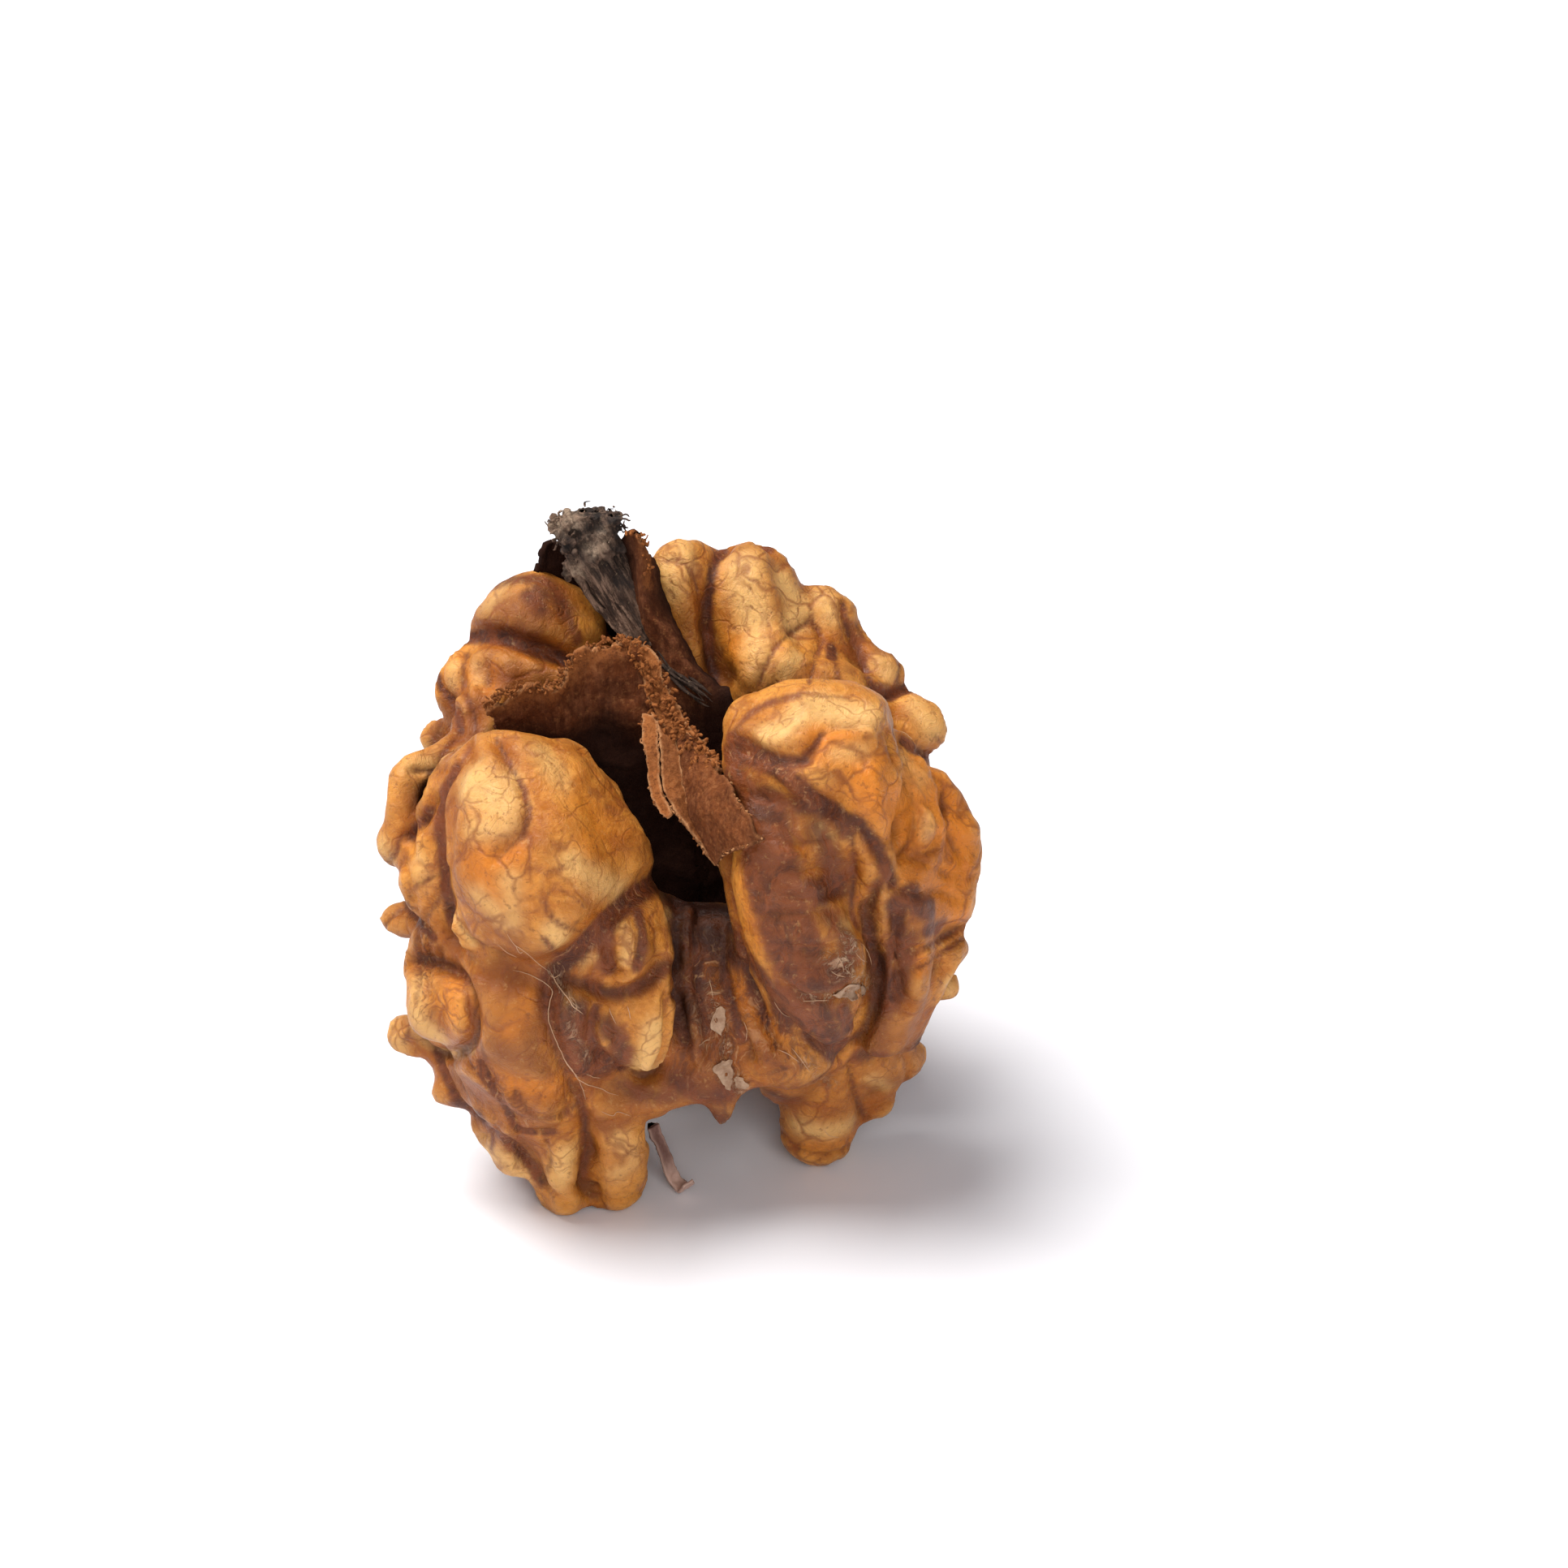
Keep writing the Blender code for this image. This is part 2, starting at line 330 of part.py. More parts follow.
def carve_grooves(mesh):
    """Sinks a net of grooves into the hidden outside, by a formula, so that it swells between them."""
    seats = [v.co.copy() for v in mesh.vertices]
    for vertex, seat, normal in zip(mesh.vertices, seats, [v.normal.copy() for v in mesh.vertices]):
        outward = Vector((seat.x / 16, seat.y / 15, (seat.z - 17) / 17)).normalized()
        in_sight = outward.z * math.sin(SIGHT_ANGLE) - outward.y * math.cos(SIGHT_ANGLE)
        share = min(1, max(0, (0.3 - in_sight) / 0.25)) * min(1, max(0, (normal.dot(outward) - 0.1) / 0.4))
        share *= min(1, max(0, (seat.z - 3.5) / 4)) * min(1, max(0, (32 - seat.z) / 4))
        share *= min(1, max(0, (0.1 - normal.dot(SIGHT)) / 0.3))
        if share == 0:
            continue
        spot = Vector((seat.x, seat.y, 1.25 * seat.z)) / CELL
        spot += 0.7 * noise.noise_vector(0.7 * spot) + 0.12 * noise.noise_vector(2.5 * spot)
        near = noise.voronoi(spot)[0]
        away = (near[1] - near[0]) * CELL / 2
        vertex.co = seat - normal * (share * GROOVE[1] * math.exp(-(away / GROOVE[0])**2))


def to_line(points, line):
    """Distance of each point from a line of joined points, in the plane across the line of sight."""
    best = np.full(len(points), 1e9)
    for start, end in zip(line, line[1:]):
        run = end - start
        t = np.clip((points - start) @ run / (run @ run), 0, 1)
        best = np.minimum(best, np.linalg.norm(points - start - t[:, None] * run, axis=1))
    return best


def carve_creases(mesh):
    """Sinks the creases of the seen side into the skin, where the viewer sees it."""
    tree = BVHTree.FromPolygons([v.co for v in mesh.vertices], [p.vertices for p in mesh.polygons])
    seats = np.array([v.co for v in mesh.vertices])
    normals = np.array([v.normal for v in mesh.vertices])
    rise = seats[:, 2] * math.cos(SIGHT_ANGLE) + seats[:, 1] * math.sin(SIGHT_ANGLE)
    seen = np.column_stack([seats[:, 0], rise])
    sink = np.zeros(len(seats))
    for width, depth, points in CREASES.values():
        knots = np.array([(x, y, 0, 1) for x, y in points], float)
        line = smooth_path(knots, 0.5)[:, :2]
        sink = np.maximum(sink, depth * np.exp(-(to_line(seen, line) / width)**2))
    for i in np.flatnonzero(sink > 0.02):
        start = Vector(seats[i]) + SIGHT * 0.6
        sink[i] *= min(1, max(0, (Vector(normals[i]).dot(SIGHT) - 0.05) / 0.35))
        if tree.ray_cast(start, SIGHT)[0] is not None:
            sink[i] = 0
    seats -= normals * sink[:, None]
    mesh.vertices.foreach_set("co", seats.ravel())


def rough_object(mesh):
    obj = bpy.data.objects.new("rough", mesh)
    bpy.context.scene.collection.objects.link(obj)
    return obj


def ease(obj, rounds):
    """Smooths the object's mesh, together with any modifier already on it."""
    smooth = obj.modifiers.new("ease", "SMOOTH")
    smooth.factor = 0.5
    smooth.iterations = rounds
    obj.data = settled(obj)
    obj.modifiers.clear()


def wrap(obj, voxel, rounds):
    """Puts one even, eased skin round everything in the object's mesh."""
    skin = obj.modifiers.new("skin", "REMESH")
    skin.mode = "VOXEL"
    skin.voxel_size = voxel
    ease(obj, rounds)


def thinned(obj, triangles):
    """The object's mesh in so many triangles; the object goes."""
    thin = obj.modifiers.new("thin", "DECIMATE")
    thin.ratio = min(1, triangles / sum(len(p.vertices) - 2 for p in obj.data.polygons))
    found = settled(obj)
    bpy.data.objects.remove(obj)
    return found


def kernel_mesh():
    """The seed: its lobes, folds and core as one skin, creased, and flat where it rests."""
    ridges = [list(map(stand, points)) for lobe in SEEN for points in lobe.values()]
    chains = [smooth_path(r, BALL_STEP) for r in ridges + CORES + hidden_folds()]
    balls = np.vstack(chains + [lobe_balls(*lobe) for lobe in LOBES])
    rough = rough_object(ball_mesh(balls, "kernel rough"))
    wrap(rough, VOXEL, SMOOTH_ROUNDS)
    carve_grooves(rough.data)
    carve_creases(rough.data)
    ease(rough, 1)
    rough.data = largest_body(rough.data)
    for vertex in rough.data.vertices:
        vertex.co.z = max(0, vertex.co.z)
    mesh = thinned(rough, KERNEL_TRIANGLES)
    for vertex in mesh.vertices:
        if vertex.co.z < FLAT_BELOW:
            vertex.co.z = 0
    return mesh


def remeshed(mesh, voxel, rounds, triangles):
    """One skin round everything in the mesh, eased and thinned to so many triangles."""
    obj = rough_object(mesh)
    wrap(obj, voxel, rounds)
    obj.data = largest_body(obj.data)
    return thinned(obj, triangles)


def largest_body(mesh):
    """Drops every loose scrap but the biggest body."""
    bm = bmesh.new()
    bm.from_mesh(mesh)
    left = set(bm.verts)
    bodies = []
    while left:
        front = [left.pop()]
        body = list(front)
        while front:
            vert = front.pop()
            near = {edge.other_vert(vert) for edge in vert.link_edges} & left
            left -= near
            front.extend(near)
            body.extend(near)
        bodies.append(body)
    bodies.sort(key=len)
    bmesh.ops.delete(bm, geom=[v for body in bodies[:-1] for v in body], context="VERTS")
    bm.to_mesh(mesh)
    bm.free()
    return mesh


def stalk_mesh():
    """The stringy strand that fed the kernel, with its knobbly head."""
    rng = np.random.default_rng(STALK_SEED)
    chains = []
    for i in range(STALK_STRINGS):
        turn = 2 * math.pi * i / STALK_STRINGS
        points = []
        for k, seen in enumerate(STALK):
            x, y, z, radius = stand(seen)
            swirl = turn + 0.5 * k
            points.append((x + 0.55 * radius * math.cos(swirl), y + 0.4 * radius * math.sin(swirl),
                           z + 0.2 * radius * math.sin(swirl), 0.52 * radius))
        chains.append(points)
    head = np.array(stand(STALK_HEAD))
    for i in range(STALK_KNOBS):
        way = rng.normal(size=3)
        way *= head[3] * rng.uniform(0.75, 1.05) / np.linalg.norm(way)
        knob = head[:3] + way * (1.15, 0.9, 1.0)
        chains.append([(*(head[:3] + 0.3 * way), 1.0), (*knob, rng.uniform(0.45, 0.75))])
    balls = np.vstack([smooth_path(c, BALL_STEP) for c in chains])
    return remeshed(ball_mesh(balls, "stalk rough"), STALK_VOXEL, 1, STALK_TRIANGLES)


def sheet_mesh(rows, spacing, crumple):
    """A thin sheet through rows of upright points, as a list of points and quads in a grid."""
    long = max(sum(math.dist(a, b) for a, b in zip(row, row[1:])) for row in rows)
    count = max(3, round(long / spacing))
    lines = []
    for row in rows:
        line = smooth_path([(*point, 1) for point in row], 0.05)[:, :3]
        run = np.concatenate([[0], np.cumsum(np.linalg.norm(np.diff(line, axis=0), axis=1))])
        at = np.linspace(0, run[-1], count)
        lines.append(np.column_stack([np.interp(at, run, line[:, k]) for k in range(3)]))
    grid = []
    for k in range(count):
        column = smooth_path([(*line[k], 1) for line in lines], 0.05)[:, :3]
        run = np.concatenate([[0], np.cumsum(np.linalg.norm(np.diff(column, axis=0), axis=1))])
        grid.append((column, run))
    down = max(3, round(max(run[-1] for _, run in grid) / spacing))
    points = []
    for column, run in grid:
        at = np.linspace(0, run[-1], down)
        points.append(np.column_stack([np.interp(at, run, column[:, k]) for k in range(3)]))
    points = np.array(points)
    for spot in points.reshape(-1, 3):
        spot += crumple * np.array(noise.noise_vector(Vector(spot) * 0.55))
        spot += 0.35 * crumple * np.array(noise.noise_vector(Vector(spot) * 1.7))
    faces = [(i * down + j, (i + 1) * down + j, (i + 1) * down + j + 1, i * down + j + 1)
             for i in range(count - 1) for j in range(down - 1)]
    return points.reshape(-1, 3), faces


def thick_sheets(sheets, clear_of, name):
    """The sheets as one closed body SHEET_THICK thick, torn back where it would come within CLEARANCE."""
    trees = [BVHTree.FromPolygons([v.co for v in m.vertices], [p.vertices for p in m.polygons])
             for m in clear_of]
    bm = bmesh.new()
    for points, faces in sheets:
        keep = []
        for spot in points:
            clear = True
            for tree in trees:
                seat, normal, _, away = tree.find_nearest(Vector(spot))
                if away < CLEARANCE + SHEET_THICK / 2 or (Vector(spot) - seat).dot(normal) < 0:
                    clear = False
            keep.append(clear)
        verts = {}
        for face in faces:
            if all(keep[i] for i in face):
                for i in face:
                    if i not in verts:
                        verts[i] = bm.verts.new(points[i])
                bm.faces.new([verts[i] for i in face])
    mesh = bpy.data.meshes.new(name)
    bm.to_mesh(mesh)
    bm.free()
    obj = rough_object(mesh)
    thick = obj.modifiers.new("thick", "SOLIDIFY")
    thick.thickness = SHEET_THICK
    thick.offset = 0
    body = settled(obj)
    bpy.data.objects.remove(obj)
    return body


def seen_point(across, rise, depth):
    return stand((across, rise, depth, 0))[:3]


def add_node(name, mesh, shift, color, roughness):
    """Places the mesh as a node, moved by shift, in metres, with its own plain material."""
    mesh.transform(Matrix.Scale(METRES_PER_MM, 4) @ Matrix.Translation(shift))
    mesh.shade_smooth()
    material = bpy.data.materials.new(name)
    material.use_nodes = True
    shader = material.node_tree.nodes["Principled BSDF"]
    shader.inputs["Base Color"].default_value = color
    shader.inputs["Roughness"].default_value = roughness
    shader.inputs["Metallic"].default_value = 0
    mesh.materials.append(material)
    node = bpy.data.objects.new(name, mesh)
    bpy.context.scene.collection.objects.link(node)


def build_sheets(sheets, spacing, crumple, clear_of, triangles):
    """Sheets given as rows of seen points, as one closed body clear of the meshes in clear_of."""
    placed = [sheet_mesh([[seen_point(*p) for p in row] for row in rows], spacing, crumple)
              for rows in sheets.values()]
    return remeshed(thick_sheets(placed, clear_of, "sheets rough"), SHEET_VOXEL, 1, triangles)


def main():
    for obj in list(bpy.data.objects):
        bpy.data.objects.remove(obj)
    noise.seed_set(NOISE_SEED)
    kernel = kernel_mesh()
    stalk = stalk_mesh()
    septum = build_sheets(SHEETS, SHEET_GRID, SHEET_CRUMPLE, [kernel, stalk], SHEET_TRIANGLES)
    curl = build_sheets(SKIN_CURL, CURL_GRID, CURL_CRUMPLE, [kernel], CURL_TRIANGLES)
    spots = np.array([v.co for mesh in (kernel, stalk, septum, curl) for v in mesh.vertices])
    middle = (spots.min(axis=0) + spots.max(axis=0)) / 2
    shift = Vector((-middle[0], -middle[1], 0))
    add_node("kernel", kernel, shift, (0.62, 0.32, 0.11, 1), 0.4)
    add_node("septum", septum, shift, (0.24, 0.085, 0.045, 1), 0.85)
    add_node("stalk", stalk, shift, (0.075, 0.06, 0.05, 1), 0.9)
    add_node("skin_curl", curl, shift, (0.36, 0.2, 0.13, 1), 0.8)


main()
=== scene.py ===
"""A whole shelled walnut kernel on a pale table, with its papery partition and a bit of stalk."""

import math

import bmesh
import bpy
import numpy as np
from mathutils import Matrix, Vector, noise
from mathutils.bvhtree import BVHTree
from mathutils.kdtree import KDTree


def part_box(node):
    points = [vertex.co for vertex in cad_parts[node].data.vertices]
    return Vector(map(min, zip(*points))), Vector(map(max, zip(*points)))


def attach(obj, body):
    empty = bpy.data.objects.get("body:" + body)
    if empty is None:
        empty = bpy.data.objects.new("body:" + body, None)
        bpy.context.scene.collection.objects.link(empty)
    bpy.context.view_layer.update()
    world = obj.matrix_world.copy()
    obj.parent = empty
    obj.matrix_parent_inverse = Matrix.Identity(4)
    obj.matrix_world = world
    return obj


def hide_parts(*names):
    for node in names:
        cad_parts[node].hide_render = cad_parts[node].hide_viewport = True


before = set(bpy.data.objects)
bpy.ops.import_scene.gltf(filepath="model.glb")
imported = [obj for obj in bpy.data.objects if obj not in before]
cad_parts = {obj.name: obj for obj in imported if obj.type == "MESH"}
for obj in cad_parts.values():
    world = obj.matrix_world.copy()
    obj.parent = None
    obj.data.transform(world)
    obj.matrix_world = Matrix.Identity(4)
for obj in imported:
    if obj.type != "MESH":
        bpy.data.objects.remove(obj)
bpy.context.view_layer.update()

# The view
# The kernel is looked down on from 30 degrees above the table, from close by,
# with a long lens, so its lobes keep their true shapes.
SIGHT_ANGLE = math.radians(30)
SIGHT = Vector((0, -math.cos(SIGHT_ANGLE), math.sin(SIGHT_ANGLE)))
LOOKED_AT = Vector((0.005877, -0.000466, 0.022832))
CAMERA_AWAY = 0.35
FRAME_WIDTH = 0.08782
camera_data = bpy.data.cameras.new("camera")
camera_data.sensor_width = 36
camera_data.lens = 36 * CAMERA_AWAY / FRAME_WIDTH
camera_data.clip_start = 0.01
camera_data.clip_end = 10
camera = bpy.data.objects.new("camera", camera_data)
camera.location = LOOKED_AT + SIGHT * CAMERA_AWAY
camera.rotation_euler = (-SIGHT).to_track_quat("-Z", "Y").to_euler()
bpy.context.scene.collection.objects.link(camera)
bpy.context.scene.camera = camera
bpy.context.scene.view_settings.view_transform = "Standard"

# The table
# A plain white sheet of smooth board under and behind the kernel,
# which throws some light back up under the lobes.


def add(tree, kind, sockets=(), **settings):
    """Adds a shader node. A socket's value is a plain value or another node's output."""
    made = tree.nodes.new(kind)
    for name, value in settings.items():
        setattr(made, name, value)
    for name, value in dict(sockets).items():
        if isinstance(value, bpy.types.NodeSocket):
            tree.links.new(value, made.inputs[name])
        else:
            made.inputs[name].default_value = value
    return made


def new_finish(name):
    """An empty node material, as (material, its tree, its principled shader, place on the piece)."""
    finish = bpy.data.materials.new(name)
    finish.use_nodes = True
    tree = finish.node_tree
    place = add(tree, "ShaderNodeTexCoord").outputs["Object"]
    return finish, tree, tree.nodes["Principled BSDF"], place


def cloud(tree, place, scale, detail=3, rough=0.55, twist=0):
    """Soft noise from 0 to 1, with scale spots in a metre."""
    made = add(tree, "ShaderNodeTexNoise",
               {"Vector": place, "Scale": scale, "Detail": detail, "Roughness": rough, "Distortion": twist})
    return made.outputs[0]


def between(tree, value, low, high, to_low=0.0, to_high=1.0):
    """Turns value between low and high into a smooth step."""
    made = add(tree, "ShaderNodeMapRange",
               {"Value": value, "From Min": low, "From Max": high, "To Min": to_low, "To Max": to_high},
               interpolation_type="SMOOTHSTEP")
    return made.outputs[0]


def tint(tree, share, under, over):
    """Lays the colour over on the colour under, by share."""
    made = tree.nodes.new("ShaderNodeMix")
    made.data_type = "RGBA"
    for k, value in ((0, share), (6, under), (7, over)):
        if isinstance(value, bpy.types.NodeSocket):
            tree.links.new(value, made.inputs[k])
        else:
            made.inputs[k].default_value = value
    return made.outputs[2]


def work_out(tree, what, a, b, clamp=True, c=None):
    """The sum, product and so on of values or other nodes' outputs."""
    made = add(tree, "ShaderNodeMath", operation=what, use_clamp=clamp)
    for k, value in enumerate((a, b, c)):
        if isinstance(value, bpy.types.NodeSocket):
            tree.links.new(value, made.inputs[k])
        elif value is not None:
            made.inputs[k].default_value = value
    return made.outputs[0]


TABLE_HALF = 1.5                   # half the width of the board, in metres
BOARD_WHITE = (0.90, 0.90, 0.94, 1)
BOARD_BRIGHT = (0.92, 0.92, 0.96, 1)
BOARD_SPOTS = 30                   # soft spots of the brighter white in a metre
table_mesh = bpy.data.meshes.new("table")
corners = [(x * TABLE_HALF, y * TABLE_HALF, 0) for x, y in ((-1, -1), (1, -1), (1, 1), (-1, 1))]
table_mesh.from_pydata(corners, [], [(0, 1, 2, 3)])
table = bpy.data.objects.new("table", table_mesh)
bpy.context.scene.collection.objects.link(table)
finish, board, shader, place = new_finish("white board")
shader.inputs["Roughness"].default_value = 0.6
color = tint(board, cloud(board, place, BOARD_SPOTS), BOARD_WHITE, BOARD_BRIGHT)
board.links.new(color, shader.inputs["Base Color"])
table_mesh.materials.append(finish)

# The studio light
# A large soft panel overhead on the left, a weaker one from the front right,
# and pale walls all round.
LIT_SPOT = Vector((0, 0, 0.02))    # what the panels point at
WALL_COLOR = (0.93, 0.93, 1.0, 1)
WALL_STRENGTH = 0.22


def soft_panel(name, spot, size, power, color):
    """A square lamp of size metres and power watts that points at the kernel."""
    data = bpy.data.lights.new(name, "AREA")
    data.shape = "SQUARE"
    data.size = size
    data.energy = power
    data.color = color
    lamp = bpy.data.objects.new(name, data)
    lamp.location = spot
    lamp.rotation_euler = (LIT_SPOT - Vector(spot)).to_track_quat("-Z", "Y").to_euler()
    bpy.context.scene.collection.objects.link(lamp)


soft_panel("top panel", (-0.2, 0.03, 0.5), size=0.34, power=4.4, color=(1.0, 0.985, 0.96))
soft_panel("front panel", (0.1, -0.5, 0.3), size=0.3, power=1.4, color=(1.0, 0.97, 0.94))
walls = bpy.data.worlds.new("walls")
walls.use_nodes = True
wall_light = walls.node_tree.nodes["Background"]
wall_light.inputs["Color"].default_value = WALL_COLOR
wall_light.inputs["Strength"].default_value = WALL_STRENGTH
bpy.context.scene.world = walls

# The kernel
# The seed itself: two halves of two lobes each, folded like a brain, in a thin glossy skin
# that is cream yellow on the swellings and purple brown in the folds, where shade is painted in as well. It
# grew in one piece.
NOISE_SEED = 8
noise.seed_set(NOISE_SEED)
MM = 0.001
MIDDLE = (0.0588, -0.4661)         # the middle of the cleft, in mm in the model's frame
SKIN_GRAIN = 0.285                 # the mesh width of the skin, in mm
SKIN_EASE = 4                      # rounds of easing that take the flat faces off it
FILL_EASE = 60                     # rounds of easing that level a filled crease
SWELL_GAIN = 0.45                  # the share of its own height that every swelling gains
SWELL_MOST = 0.5                   # the height, in mm, up to which it gains
GROOVE_NARROWER = 0.85             # drawn creases are pressed in a little narrower and deeper than drawn
GROOVE_DEEPER = 1.3
WIDE_NET = 5.2                     # between the folds of the sides that the photo doesn't show, in mm
FINE_NET = 2.6                     # between the creases among them
FOLD_DEEP = 0.38                   # the depth and the half width of those folds and creases, in mm
FOLD_HALF = 0.34
CREASE_DEEP = 0.12
CREASE_HALF = 0.2
LUMP_HIGH = 0.4                    # the height and the width of the soft lumps of those sides, in mm
LUMP_WIDE = 3.4
WAVE_HIGH = 0.09                   # and of the waves and pimples of the skin all over
WAVE_WIDE = 2.2
PIMPLE_HIGH = 0.03
PIMPLE_WIDE = 0.9
GLOOM_REACH = 9                    # how far off skin still shuts out the light, in mm
GLOOM_WAYS = 26                    # the directions that are tried for it
GLOOM_LIFT = 0.25                  # how far above the skin they start, in mm
LEAST_SLANT = 0.25                 # ways that lie flatter on the skin than this aren't tried

# Wide creases of the plain model that are filled up before the finer ones are pressed in
FILLED = [
    (1.1, 0.9, [(-0.3, 14.7), (-2.2, 13.9), (-4.2, 12.1), (-6.3, 9.7), (-8.3, 9.3), (-10.4, 9.8)]),
    (1.0, 1.0, [(-6.5, 9.6), (-7.3, 7.3), (-6.8, 5.0), (-6.0, 2.8), (-5.5, 0.0)]),
    (0.8, 0.9, [(-11.3, 4.6), (-9.0, 3.2), (-6.3, 2.8)]),
    (0.9, 0.9, [(-14.2, 3.5), (-12.2, 3.0), (-10.1, 1.4), (-7.2, 0.3), (-3.5, 0.5)]),
    (0.9, 0.8, [(-8.5, 0.3), (-8.5, -1.8), (-8.0, -3.8)]),
    (0.8, 1.0, [(-4.0, 11.4), (-4.2, 9.1), (-3.3, 7.5), (-2.9, 5.5), (-2.7, 3.7)]),
    (1.1, 1.0, [(2.3, 21.4), (4.2, 20.3), (6.2, 17.8), (7.8, 16.0), (9.4, 13.9), (10.4, 11.9), (10.8, 9.6)]),
    (1.0, 1.0, [(10.8, 9.6), (10.2, 7.1), (9.2, 5.0)]),
    (0.8, 1.0, [(2.8, 21.6), (5.5, 21.2), (7.8, 21.6), (10.1, 21.4), (11.9, 22.1)]),
    (0.8, 1.0, [(4.9, 14.7), (6.9, 15.0), (9.2, 14.7)]),
    (0.8, 1.0, [(5.1, 12.3), (7.4, 12.7), (9.6, 12.4)]),
    (0.8, 1.0, [(5.8, 10.0), (7.8, 10.2), (9.9, 10.0)]),
    (0.8, 0.7, [(11.5, 21.0), (12.1, 18.2), (12.5, 15.5), (11.8, 13.2), (12.5, 11.0), (12.1, 8.2)]),
    (0.7, 0.6, [(12.5, 15.5), (14.2, 16.4), (16.5, 16.0)]),
    (0.7, 0.6, [(-9.8, 22.2), (-8.5, 20.3), (-7.7, 18.2), (-9.0, 16.3)]),
    (0.8, 0.7, [(5.6, 32.3), (6.2, 30.3), (6.9, 27.8), (8.7, 27.3), (10.1, 27.8)]),
    (1.3, 1.0, [(-5.2, 21.6), (-4.5, 20.9), (-4.2, 20.1), (-4.0, 19.2)]),
    (0.9, 0.9, [(-14.5, 19.5), (-14.2, 20.5), (-13.6, 21.5)]),
    (0.8, 0.9, [(-13.0, 13.3), (-12.9, 12.4)]),
]

# Swellings that sit a little off on the plain model: across, rise, depth, reach, then the shift in mm
NUDGES = [
    (0.0, 31.9, 6.0, 2.4, (-0.75, 0.0, 0.6)),
    (-5.6, 29.6, 4.0, 1.9, (-0.7, 0.0, 0.0)),
    (-7.5, 31.2, 5.0, 2.6, (0.0, 0.0, 0.4)),
    (-2.3, 18.6, -9.0, 2.4, (-0.6, 0.0, 0.0)),
    (-4.2, 22.0, -7.0, 2.0, (-0.4, 0.0, -0.1)),
    (-3.6, 20.5, -3.5, 1.7, (-0.9, 0.0, -0.6)),
]

